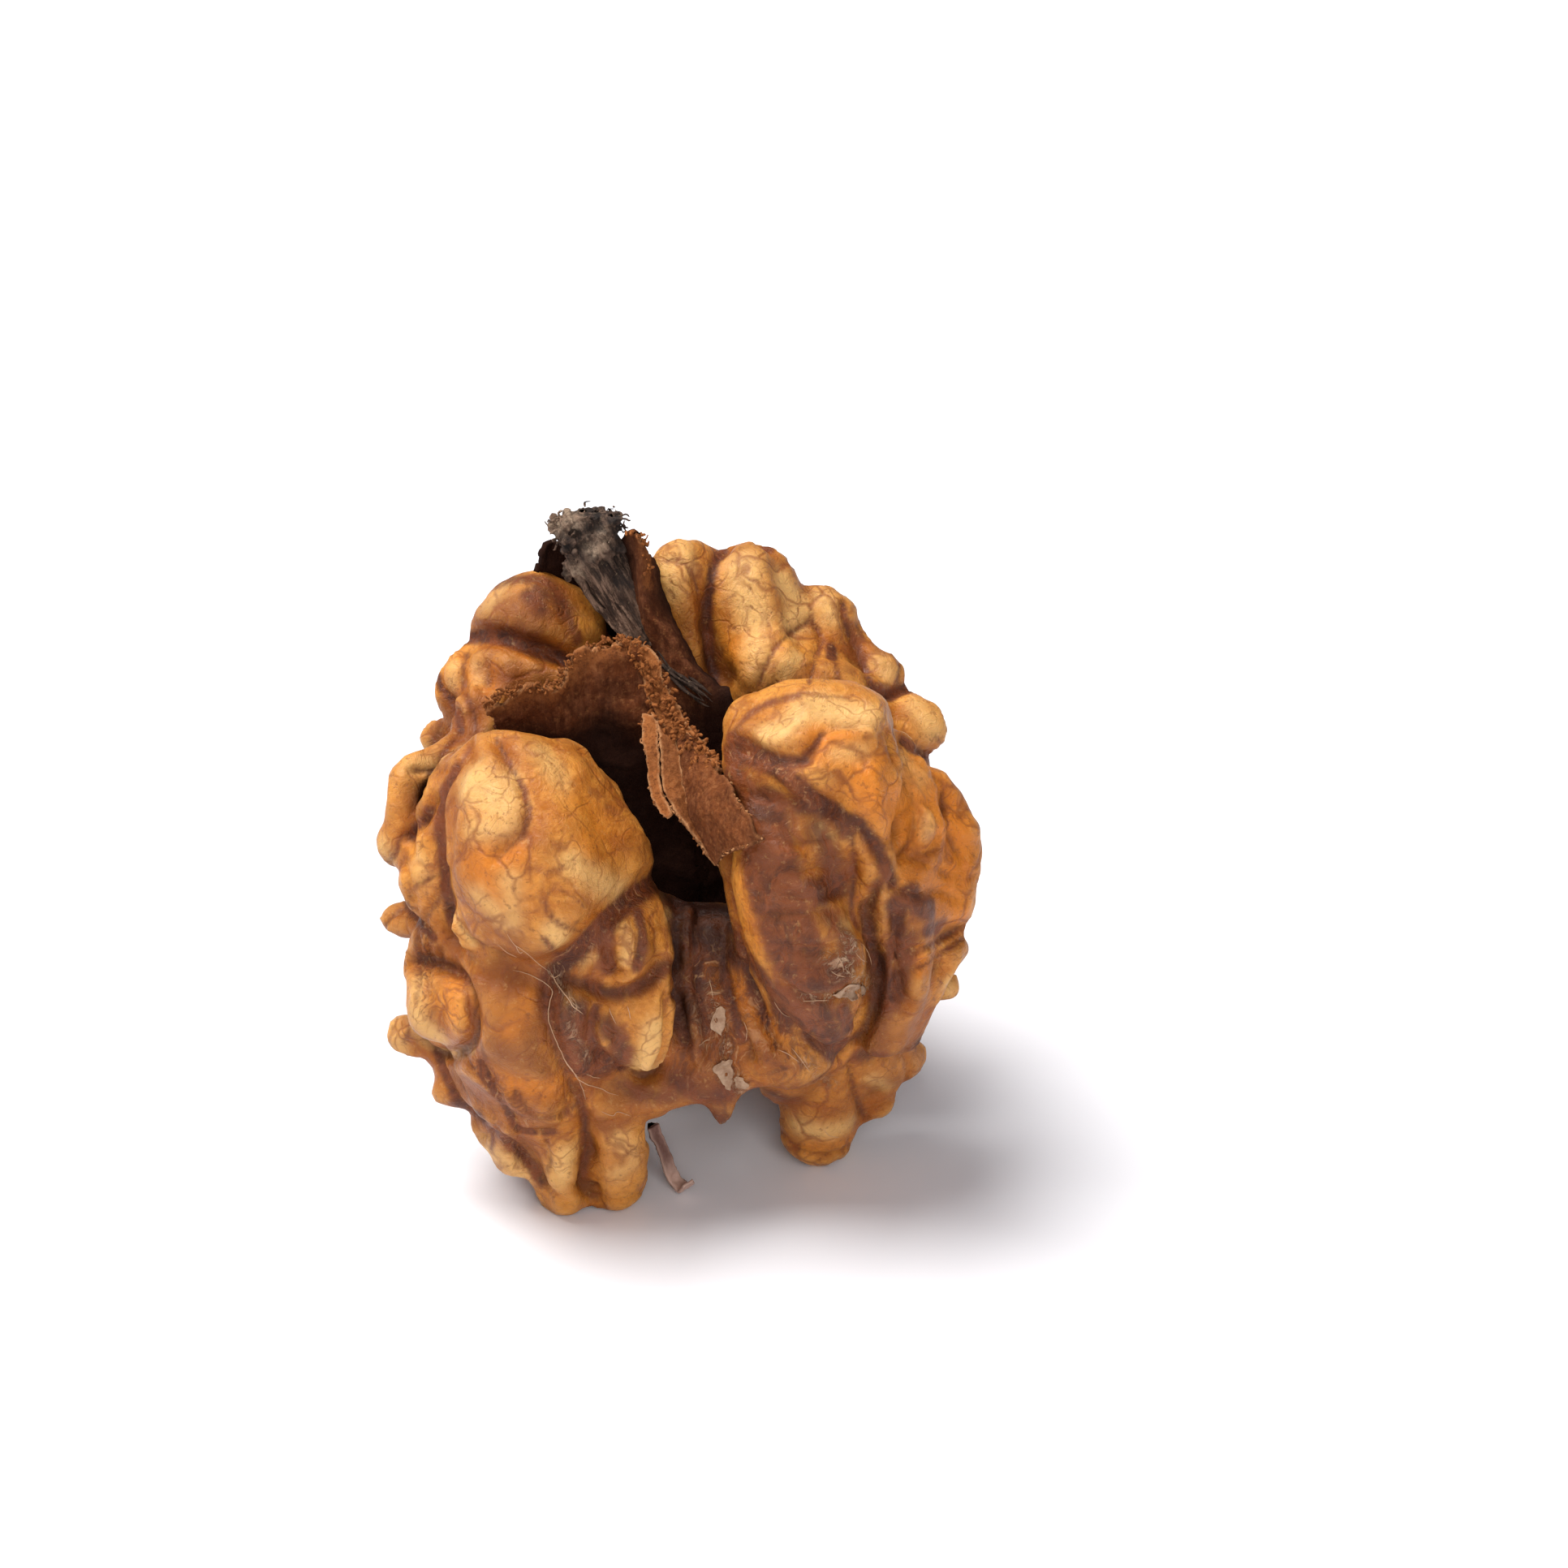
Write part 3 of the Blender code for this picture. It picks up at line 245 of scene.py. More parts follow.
# Fine creases of the side that the photo shows: half width, depth, then (across, rise) along each, in mm
GROOVES = [
    (0.35, 0.35, [(-12.1, 20.7), (-12.8, 19.4), (-13.0, 17.8), (-12.8, 16.2), (-12.8, 14.1),
        (-12.5, 12.8), (-11.8, 11.4), (-10.8, 10.9), (-9.7, 10.6)]),
    (0.28, 0.2, [(-9.8, 22.1), (-9.0, 20.7), (-8.3, 19.4), (-8.0, 18.2), (-8.2, 17.1), (-9.0, 16.4),
        (-9.8, 15.6)]),
    (0.3, 0.25, [(-12.6, 13.7), (-12.1, 12.5), (-11.4, 11.5), (-10.7, 11.0)]),
    (0.8, 0.4, [(-0.6, 14.8), (-2.0, 14.0), (-3.2, 13.0), (-4.4, 11.7), (-5.5, 10.6), (-6.7, 9.4)]),
    (0.6, 0.42, [(-6.7, 9.3), (-5.3, 8.8), (-3.5, 8.2), (-1.8, 8.8), (-0.7, 10.0)]),
    (0.4, 0.45, [(-7.0, 9.5), (-7.2, 8.0), (-7.0, 6.4), (-6.5, 4.6), (-5.8, 2.8), (-5.3, 1.0),
        (-5.0, -1.1)]),
    (0.35, 0.4, [(-4.5, 7.5), (-4.8, 6.0), (-4.3, 4.8), (-3.3, 4.0)]),
    (0.35, 0.45, [(-3.1, 3.8), (-2.0, 3.4), (-1.0, 4.4), (-0.5, 6.0), (-0.5, 8.2)]),
    (0.3, 0.3, [(-3.6, 12.3), (-3.9, 11.0), (-3.5, 9.6), (-2.4, 9.6), (-2.0, 11.0), (-2.3, 12.3)]),
    (0.35, 0.45, [(-15.5, 9.7), (-14.5, 10.0), (-13.0, 9.8), (-11.6, 8.9), (-11.2, 7.3), (-11.3, 5.7),
        (-12.3, 4.8), (-13.5, 4.6), (-14.7, 5.4)]),
    (0.25, 0.3, [(-14.5, 11.6), (-14.4, 10.0), (-14.5, 8.0)]),
    (0.25, 0.3, [(-13.7, 11.4), (-13.9, 9.8), (-13.8, 8.2)]),
    (0.25, 0.25, [(-13.1, 10.7), (-13.3, 9.4)]),
    (0.35, 0.35, [(-13.8, 4.7), (-13.1, 3.2), (-12.4, 2.0), (-11.2, 1.1), (-9.8, -0.0), (-8.6, -1.4),
        (-7.7, -2.8)]),
    (0.25, 0.3, [(-10.9, 4.4), (-10.2, 2.9), (-9.4, 1.5), (-8.9, 0.5), (-7.1, 0.4)]),
    (0.2, 0.2, [(-11.7, 4.4), (-10.6, 3.2), (-9.8, 2.0)]),
    (0.3, 0.3, [(-9.0, 2.8), (-8.1, 1.4), (-6.7, 1.3), (-5.7, 1.9)]),
    (0.3, 0.35, [(-5.5, 0.3), (-5.3, -1.3), (-5.5, -2.9), (-4.5, -4.1)]),
    (0.25, 0.3, [(-7.5, -0.2), (-7.4, -1.8), (-6.3, -2.8), (-4.7, -2.9)]),
    (0.25, 0.25, [(-9.0, 0.0), (-8.2, -1.4), (-7.5, -2.9), (-6.3, -4.0)]),
    (0.25, 0.2, [(-4.7, -3.4), (-3.3, -3.8), (-2.0, -3.1)]),
    (0.3, 0.3, [(-12.0, -0.2), (-10.8, 0.0), (-10.0, 0.7)]),
    (0.35, 0.3, [(3.0, 22.5), (4.2, 21.8), (5.5, 21.1), (6.6, 21.0), (7.4, 21.6), (7.9, 22.5),
        (9.0, 23.0), (10.3, 23.0), (11.4, 22.7)]),
    (0.5, 0.3, [(3.2, 21.6), (4.9, 21.1), (6.0, 20.3), (7.4, 19.1), (8.7, 18.2), (10.1, 17.5),
        (10.8, 16.4), (11.3, 15.2)]),
    (0.35, 0.35, [(11.3, 15.2), (10.8, 14.0), (10.5, 12.8), (10.7, 11.0), (11.1, 9.1), (10.6, 7.3)]),
    (0.3, 0.2, [(8.8, 18.2), (9.5, 16.4), (9.6, 14.6), (9.4, 12.9), (9.9, 11.9)]),
    (0.4, 0.3, [(4.4, 14.0), (5.8, 13.7), (7.4, 13.6), (9.2, 13.8)]),
    (0.3, 0.2, [(4.9, 12.5), (6.5, 12.8), (8.3, 12.9)]),
    (0.35, 0.25, [(5.3, 11.0), (7.4, 10.7), (9.2, 11.0)]),
    (0.35, 0.3, [(5.5, 8.9), (6.7, 8.1), (8.3, 8.0), (9.9, 8.5)]),
    (0.3, 0.2, [(4.4, 19.1), (5.8, 18.7), (7.4, 18.9)]),
    (0.25, 0.2, [(4.2, 16.9), (5.6, 16.5), (7.2, 16.6), (8.6, 16.9)]),
    (0.25, 0.15, [(4.3, 15.6), (6.0, 15.2), (7.8, 15.3), (9.0, 15.6)]),
    (0.3, 0.3, [(11.5, 22.7), (11.9, 21.2), (12.5, 20.0), (13.0, 18.7), (12.8, 16.9), (12.1, 15.7)]),
    (0.25, 0.25, [(13.3, 18.9), (14.1, 18.3), (14.3, 17.0), (13.7, 16.0), (13.0, 16.4), (12.9, 17.8)]),
    (0.25, 0.25, [(12.7, 21.6), (13.7, 20.7), (14.6, 19.4), (14.7, 17.9), (15.2, 16.4), (15.8, 15.2),
        (15.6, 14.0)]),
    (0.25, 0.25, [(12.0, 15.9), (13.3, 15.6), (14.9, 14.8), (16.6, 14.6)]),
    (0.25, 0.3, [(11.7, 14.4), (12.8, 13.7), (14.2, 13.9), (15.8, 13.2)]),
    (0.3, 0.35, [(12.5, 10.4), (14.1, 11.0), (15.4, 11.6), (16.6, 12.2)]),
    (0.25, 0.3, [(12.9, 9.5), (14.4, 10.4), (16.0, 11.3)]),
    (0.45, 0.5, [(11.9, 12.3), (11.8, 10.5), (12.1, 8.5), (12.7, 7.3)]),
    (0.45, 0.5, [(5.1, 33.0), (4.5, 33.4), (3.5, 33.6), (2.6, 33.1), (2.0, 32.2), (1.7, 30.7),
        (1.5, 28.7), (1.9, 25.9)]),
    (0.25, 0.2, [(-0.8, 32.3), (0.2, 32.1), (0.8, 31.2), (1.1, 29.8)]),
    (0.25, 0.25, [(7.3, 29.0), (6.2, 28.2), (5.3, 27.3), (4.8, 26.3), (4.4, 25.4)]),
    (0.25, 0.25, [(7.4, 28.9), (7.9, 28.0), (7.5, 26.4), (7.2, 25.2)]),
    (0.3, 0.3, [(9.1, 30.0), (9.4, 28.5), (10.1, 27.1), (10.5, 25.9), (10.8, 25.0)]),
    (0.45, 0.45, [(10.8, 25.0), (11.7, 24.8), (12.9, 25.4)]),
    (0.25, 0.25, [(12.1, 27.3), (12.5, 26.4), (12.3, 25.4)]),
    (0.35, 0.35, [(12.4, 22.2), (13.6, 21.5), (15.2, 21.2)]),
    (0.55, 0.4, [(-13.7, 27.2), (-12.8, 27.8), (-11.5, 28.2), (-9.9, 28.0), (-8.5, 27.5), (-7.2, 27.1),
        (-6.1, 26.6)]),
    (0.3, 0.35, [(-13.3, 27.0), (-13.5, 26.1), (-13.4, 25.2), (-12.8, 24.5), (-12.3, 23.6), (-12.1, 22.7),
        (-12.5, 22.0)]),
    (0.28, 0.3, [(-11.9, 27.0), (-12.1, 26.1), (-12.0, 25.0), (-11.5, 24.0), (-11.3, 23.1)]),
    (0.25, 0.2, [(-10.5, 27.0), (-10.7, 26.1), (-10.6, 25.2)]),
    (0.25, 0.25, [(-11.3, 23.2), (-11.3, 21.8), (-12.0, 20.7), (-13.3, 20.5), (-14.7, 20.5)]),
    (0.25, 0.25, [(-12.5, 22.2), (-13.1, 21.3), (-13.3, 20.6)]),
    (0.45, 0.6, [(-13.5, 18.9), (-13.9, 18.0), (-14.5, 17.3), (-14.8, 16.9)]),
    (0.3, 0.35, [(-16.0, 14.7), (-15.4, 13.3), (-14.5, 12.3), (-13.5, 11.3)]),
    (0.25, 0.25, [(-15.3, 16.9), (-15.6, 16.0), (-16.1, 15.4)]),
    (0.25, 0.25, [(-15.1, 15.5), (-14.7, 13.9), (-14.5, 12.8)]),
    (0.25, 0.25, [(-13.2, 13.5), (-14.0, 12.3), (-13.7, 11.4)]),
    (0.25, 0.25, [(-13.3, 14.7), (-14.5, 14.1), (-14.8, 13.6)]),
    (0.25, 0.25, [(-16.7, 11.6), (-16.2, 12.3), (-15.5, 12.6)]),
    (0.25, 0.25, [(-16.4, 6.0), (-15.5, 6.3), (-15.2, 7.1)]),
    (0.35, 0.45, [(-0.1, 13.2), (-0.2, 10.5), (-0.1, 8.0), (0.3, 5.5)]),
    (0.35, 0.5, [(1.2, 12.8), (1.0, 10.4), (1.2, 8.2), (1.6, 6.2), (1.5, 4.6)]),
    (0.3, 0.4, [(2.3, 12.0), (2.4, 9.8), (2.9, 7.6), (3.6, 5.6), (4.0, 4.4)]),
    (0.35, 0.5, [(3.4, 10.6), (4.0, 8.6), (4.9, 6.4), (5.6, 5.0)]),
    (0.25, 0.3, [(9.5, 4.1), (9.7, 2.3), (10.5, 0.7)]),
    (0.25, 0.2, [(5.5, 0.1), (6.6, -1.0), (8.4, -1.4), (9.7, -0.9)]),
    (0.25, 0.2, [(12.5, 5.0), (12.9, 3.2), (11.9, 1.6), (10.8, 1.2)]),
]

# The deep folds round the hooked end of the right front lobe
DEEP = [
    (0.2, 0.5, [(5.77, 8.91), (6.36, 8.32), (6.91, 7.95), (7.59, 7.95), (8.73, 8.05), (9.6, 8.15)]),
    (0.35, 0.7, [(10.2, 13.0), (10.75, 10.5), (10.85, 8.68), (10.5, 7.0), (9.8, 5.2), (8.95, 4.4)]),
]
# Painted shade with the skin's own dark: in those folds, below the hooked end and between the belly and the
# column
FOLD_SHADE_AND_STAIN = [                         # dark places of those folds
    (0.8, 0.9, [(6.4, 7.1), (7.7, 6.3), (9.1, 5.3)]),
    (0.6, 0.95, [(5.5, 8.4), (6.2, 7.4), (7.3, 5.8), (8.4, 4.8)]),
    (0.7, 0.8, [(3.2, 11.4), (4.2, 9.6), (5.2, 8.0), (5.9, 6.4)]),
    (0.9, 0.7, [(-11.2, 30.6), (-9.4, 31.2), (-7.4, 31.0), (-6.4, 29.4)]),
    (0.7, 0.75, [(-8.4, 30.3), (-7.7, 29.6)]),
    (0.5, 0.6, [(11.8, 12.4), (11.6, 9.6), (11.2, 7.2)]),
]

# Where that side is dark (its own purple brown, with painted shade in the folds and under the partition),
# pale (one stroke a painted highlight), orange, red brown (partly painted shade over the belly), in painted
# shade, fibrous or torn white:
# half width, strength, then (across, rise)
DARK = [
    (0.45, 0.8, [(-12.0, 20.6), (-12.8, 19.1), (-13.0, 17.3), (-12.8, 15.5), (-12.7, 13.7), (-12.4, 12.3)]),
    (0.28, 0.65, [(-9.8, 22.2), (-9.0, 20.7), (-8.3, 19.4), (-8.0, 18.2), (-8.3, 17.0)]),
    (0.2, 0.45, [(-8.3, 17.0), (-9.0, 16.3), (-9.8, 15.6)]),
    (0.2, 0.4, [(-8.1, 16.9), (-7.9, 15.5), (-7.8, 14.4)]),
    (0.2, 0.45, [(-12.9, 16.0), (-12.2, 16.0), (-11.5, 16.0)]),
    (0.2, 0.4, [(-11.5, 18.7), (-11.3, 17.5), (-10.3, 17.1), (-9.0, 17.0)]),
    (0.25, 0.5, [(-12.6, 13.7), (-12.1, 12.5), (-11.4, 11.5), (-10.4, 11.0)]),
    (0.75, 0.95, [(-0.6, 15.0), (-1.7, 14.1), (-3.0, 13.1), (-4.2, 11.9), (-5.5, 10.7), (-6.6, 9.5)]),
    (0.3, 0.7, [(-6.3, 9.8), (-6.7, 10.7), (-7.2, 11.4)]),
    (0.25, 0.6, [(-4.7, 11.7), (-5.7, 11.9), (-6.7, 12.5), (-7.2, 13.5)]),
    (0.2, 0.5, [(-6.3, 14.1), (-5.4, 13.5), (-4.2, 12.5)]),
    (0.7, 0.7, [(-6.3, 9.1), (-4.9, 8.8), (-3.3, 8.3), (-1.7, 8.9), (-0.6, 9.8)]),
    (0.6, 0.9, [(-3.6, 12.5), (-4.0, 11.2), (-3.8, 9.8)]),
    (0.5, 0.8, [(-2.2, 12.8), (-1.9, 11.4), (-2.2, 9.8)]),
    (1.0, 0.95, [(-6.8, 9.1), (-6.7, 7.3), (-6.0, 5.5), (-5.4, 3.9)]),
    (1.2, 0.9, [(-5.6, 7.3), (-5.3, 5.7), (-4.5, 4.1)]),
    (0.9, 0.75, [(-4.0, 6.6), (-3.1, 5.0), (-4.2, 3.7)]),
    (0.35, 0.9, [(-4.5, 7.5), (-4.8, 6.0), (-4.2, 4.7), (-3.2, 4.0)]),
    (0.45, 0.6, [(-5.6, 3.2), (-5.3, 1.0), (-5.4, -1.3)]),
    (0.9, 0.6, [(-3.5, 3.2), (-2.2, 2.5), (-0.4, 2.3)]),
    (0.3, 0.5, [(-15.5, 9.6), (-14.7, 10.0), (-13.3, 10.0)]),
    (0.3, 0.55, [(-14.5, 11.4), (-14.4, 9.8), (-14.5, 7.7)]),
    (0.22, 0.5, [(-13.7, 11.4), (-13.9, 9.8), (-13.8, 8.0)]),
    (0.22, 0.4, [(-13.1, 11.0), (-13.3, 9.4)]),
    (0.3, 0.45, [(-12.2, 11.0), (-11.7, 9.6), (-11.6, 7.8), (-11.3, 6.2)]),
    (0.3, 0.55, [(-11.2, 7.3), (-10.8, 5.5), (-10.6, 4.6)]),
    (0.4, 0.8, [(-13.7, 4.7), (-13.0, 3.1), (-12.3, 1.9), (-11.1, 1.0), (-9.8, -0.1), (-8.6, -1.5),
        (-7.9, -2.7)]),
    (0.3, 0.8, [(-10.9, 4.5), (-10.2, 2.9), (-9.4, 1.5), (-8.9, 0.5), (-7.0, 0.4)]),
    (0.22, 0.7, [(-11.5, 4.4), (-10.5, 3.1), (-9.8, 2.0), (-9.5, 1.2)]),
    (0.3, 0.6, [(-9.0, 2.8), (-8.1, 1.4), (-6.7, 1.3), (-5.6, 2.0)]),
    (0.3, 0.55, [(-7.5, 0.0), (-7.2, -1.1), (-7.5, -2.0)]),
    (0.25, 0.5, [(-5.5, 0.3), (-5.3, -1.3), (-5.5, -2.5)]),
    (0.6, 0.9, [(-12.5, 1.8), (-11.7, 1.5), (-11.2, 1.3)]),
    (0.3, 0.6, [(-10.8, 0.7), (-10.5, -0.2), (-10.7, -0.9)]),
    (0.35, 0.55, [(3.0, 22.5), (4.0, 23.6), (5.1, 24.2), (6.7, 24.6)]),
    (0.25, 0.5, [(6.7, 24.7), (8.3, 24.5), (10.1, 24.2)]),
    (0.55, 0.9, [(3.0, 22.2), (4.2, 21.6), (5.5, 21.0), (6.9, 20.9)]),
    (0.3, 0.7, [(6.8, 21.1), (7.5, 21.9), (7.9, 22.5)]),
    (0.65, 0.95, [(2.8, 21.4), (4.6, 21.0), (6.0, 20.1), (7.4, 19.0), (8.7, 18.1), (9.9, 17.6)]),
    (0.6, 0.85, [(9.9, 17.5), (10.7, 16.6), (11.3, 15.4), (11.7, 14.4)]),
    (1.3, 0.95, [(3.0, 20.0), (4.0, 18.2), (4.4, 15.5), (4.9, 13.2)]),
    (1.3, 0.9, [(4.9, 18.9), (5.5, 16.4), (6.0, 14.1), (6.2, 12.3)]),
    (0.9, 0.8, [(6.7, 18.7), (8.3, 18.4), (9.2, 17.3)]),
    (1.0, 0.85, [(7.4, 14.1), (8.7, 14.4), (7.8, 13.7)]),
    (1.2, 0.95, [(5.3, 11.9), (6.2, 10.0), (7.4, 9.1), (8.7, 9.4)]),
    (1.1, 0.95, [(6.7, 8.1), (7.8, 7.1), (8.3, 5.7), (8.7, 4.8)]),
    (0.8, 0.85, [(9.0, 7.3), (9.4, 6.3)]),
    (0.9, 0.85, [(6.7, 12.3), (7.4, 10.7)]),
    (0.25, 0.7, [(9.2, 18.2), (9.6, 16.4), (9.6, 14.6), (9.5, 12.8), (9.9, 11.8)]),
    (0.6, 0.7, [(11.0, 14.4), (10.6, 12.8), (10.6, 11.0)]),
    (0.9, 0.95, [(12.7, 13.8), (13.3, 13.1), (14.0, 12.9)]),
    (0.8, 0.9, [(11.9, 13.2), (12.1, 11.9), (11.9, 10.5)]),
    (0.6, 0.9, [(13.7, 11.8), (14.4, 11.9)]),
    (1.0, 0.9, [(11.2, 10.0), (11.5, 8.9), (11.4, 7.8)]),
    (0.9, 0.7, [(12.6, 11.4), (12.4, 9.6), (12.1, 8.2)]),
    (0.3, 0.6, [(12.5, 10.4), (14.1, 11.0), (15.4, 11.6), (16.5, 12.1)]),
    (0.25, 0.6, [(13.0, 9.5), (14.4, 10.3), (15.9, 11.3)]),
    (0.4, 0.9, [(4.9, 33.0), (4.4, 33.5), (3.4, 33.6), (2.5, 33.0), (1.9, 32.1), (1.7, 30.7), (1.5, 28.7),
        (1.9, 25.5)]),
    (0.22, 0.6, [(-0.8, 32.3), (0.2, 32.1), (0.8, 31.2), (1.1, 29.8)]),
    (0.22, 0.6, [(7.3, 29.8), (7.3, 29.0), (6.2, 28.2), (5.3, 27.3), (4.8, 26.3), (4.4, 25.4)]),
    (0.22, 0.6, [(7.4, 28.9), (7.9, 28.0), (7.5, 26.4), (7.2, 25.2)]),
    (0.45, 1.0, [(8.5, 27.4), (8.5, 26.8)]),
    (0.22, 0.7, [(8.7, 26.8), (8.8, 25.5)]),
    (0.3, 0.8, [(9.1, 30.0), (9.4, 28.5), (10.1, 27.1), (10.5, 25.9), (10.8, 25.0)]),
    (0.2, 0.5, [(9.2, 27.8), (9.9, 26.8), (10.3, 26.2)]),
    (0.35, 0.6, [(9.9, 28.7), (10.2, 28.0)]),
    (0.5, 0.95, [(10.7, 25.0), (11.8, 24.7), (13.0, 25.3)]),
    (0.3, 0.6, [(11.8, 27.3), (12.3, 26.4), (12.1, 25.3)]),
    (0.5, 0.8, [(12.3, 22.1), (13.5, 21.4), (15.0, 21.0)]),
    (0.25, 0.5, [(14.2, 22.5), (14.9, 21.9)]),
    (0.6, 0.95, [(-13.7, 27.3), (-12.8, 27.8), (-11.5, 28.0), (-9.9, 27.9), (-8.5, 27.5), (-7.2, 27.0),
        (-6.0, 26.4)]),
    (0.7, 0.5, [(-10.8, 28.5), (-9.5, 28.4), (-8.1, 28.0)]),
    (0.3, 0.85, [(-13.3, 27.0), (-13.5, 26.1), (-13.4, 25.2), (-12.8, 24.5), (-12.3, 23.6), (-12.1, 22.7)]),
    (0.28, 0.6, [(-11.9, 27.0), (-12.1, 26.1), (-12.0, 25.0), (-11.5, 24.0), (-11.3, 23.0)]),
    (0.25, 0.5, [(-10.6, 27.3), (-10.6, 26.1), (-10.5, 25.3)]),
    (0.8, 0.7, [(-7.9, 30.7), (-7.5, 30.3)]),
    (0.5, 0.6, [(-6.3, 29.6), (-5.7, 27.8)]),
    (0.6, 0.6, [(-13.5, 23.1), (-13.8, 22.1)]),
    (0.25, 0.6, [(-12.5, 22.2), (-13.1, 21.3), (-13.3, 20.6), (-14.5, 20.5)]),
    (0.25, 0.5, [(-11.3, 23.0), (-11.3, 21.8), (-12.0, 20.7)]),
    (0.35, 0.85, [(-13.6, 18.4), (-13.8, 17.9), (-14.4, 17.4), (-14.7, 17.0)]),
    (0.35, 0.8, [(-16.0, 14.7), (-15.4, 13.3), (-14.5, 12.3), (-13.5, 11.3)]),
    (0.3, 0.6, [(-15.2, 15.7), (-15.6, 14.1), (-15.4, 13.7)]),
    (0.25, 0.6, [(-15.3, 16.9), (-15.6, 16.0), (-16.1, 15.4)]),
    (0.25, 0.5, [(-13.3, 14.7), (-14.5, 14.1), (-14.8, 13.6)]),
    (0.25, 0.5, [(-13.1, 13.5), (-13.9, 12.4)]),
    (0.3, 0.6, [(-16.7, 11.4), (-16.1, 12.3), (-15.5, 12.7)]),
    (0.3, 0.6, [(-15.5, 7.1), (-15.2, 6.3), (-15.5, 5.3)]),
    # Painted shade on the top of the web, under the partition
    (1.6, 0.95, [(0.3, 13.0), (1.5, 12.5), (2.6, 12.3)]),
    (1.2, 0.8, [(0.5, 11.2), (1.9, 10.7), (3.5, 10.0)]),
    (1.0, 0.8, [(4.2, 10.0), (5.1, 8.5), (6.2, 6.9)]),
    (1.1, 0.65, [(7.6, 17.4), (8.3, 15.8), (8.3, 14.2)]),
    (0.9, 0.65, [(8.3, 12.6), (9.2, 11.4), (9.4, 10.2)]),
    (0.5, 0.4, [(3.0, 16.5), (3.0, 14.0), (3.4, 12.0)]),
    (0.4, 0.9, [(-0.1, 13.2), (-0.2, 10.5), (-0.1, 8.0), (0.3, 5.5)]),
    (0.5, 0.9, [(1.2, 12.8), (1.0, 10.4), (1.2, 8.2), (1.6, 6.2)]),
    (0.4, 0.85, [(2.3, 12.0), (2.4, 9.8), (2.9, 7.6), (3.6, 5.6)]),
    (0.4, 0.8, [(3.4, 10.6), (4.0, 8.6), (4.9, 6.4)]),
    (0.5, 0.5, [(0.6, 9.6), (0.5, 7.0), (0.8, 5.0)]),
    (0.9, 0.7, [(-0.1, 3.2), (1.2, 2.3), (2.6, 2.5)]),
    (1.0, 0.7, [(1.5, 1.6), (2.4, 1.0)]),
    (1.0, 0.85, [(13.4, 5.3), (14.0, 4.4), (13.3, 2.5)]),
    (0.9, 0.8, [(12.8, 1.9), (11.9, 0.5), (10.8, -0.2)]),
    (0.9, 0.7, [(5.3, 2.3), (6.2, 1.9)]),
    (0.9, 0.7, [(10.1, 4.6), (11.0, 4.6)]),
    (0.3, 0.6, [(9.5, 3.7), (9.8, 2.3), (10.5, 0.7)]),
    (0.25, 0.5, [(5.6, -0.0), (6.7, -1.0), (8.4, -1.3)]),
]
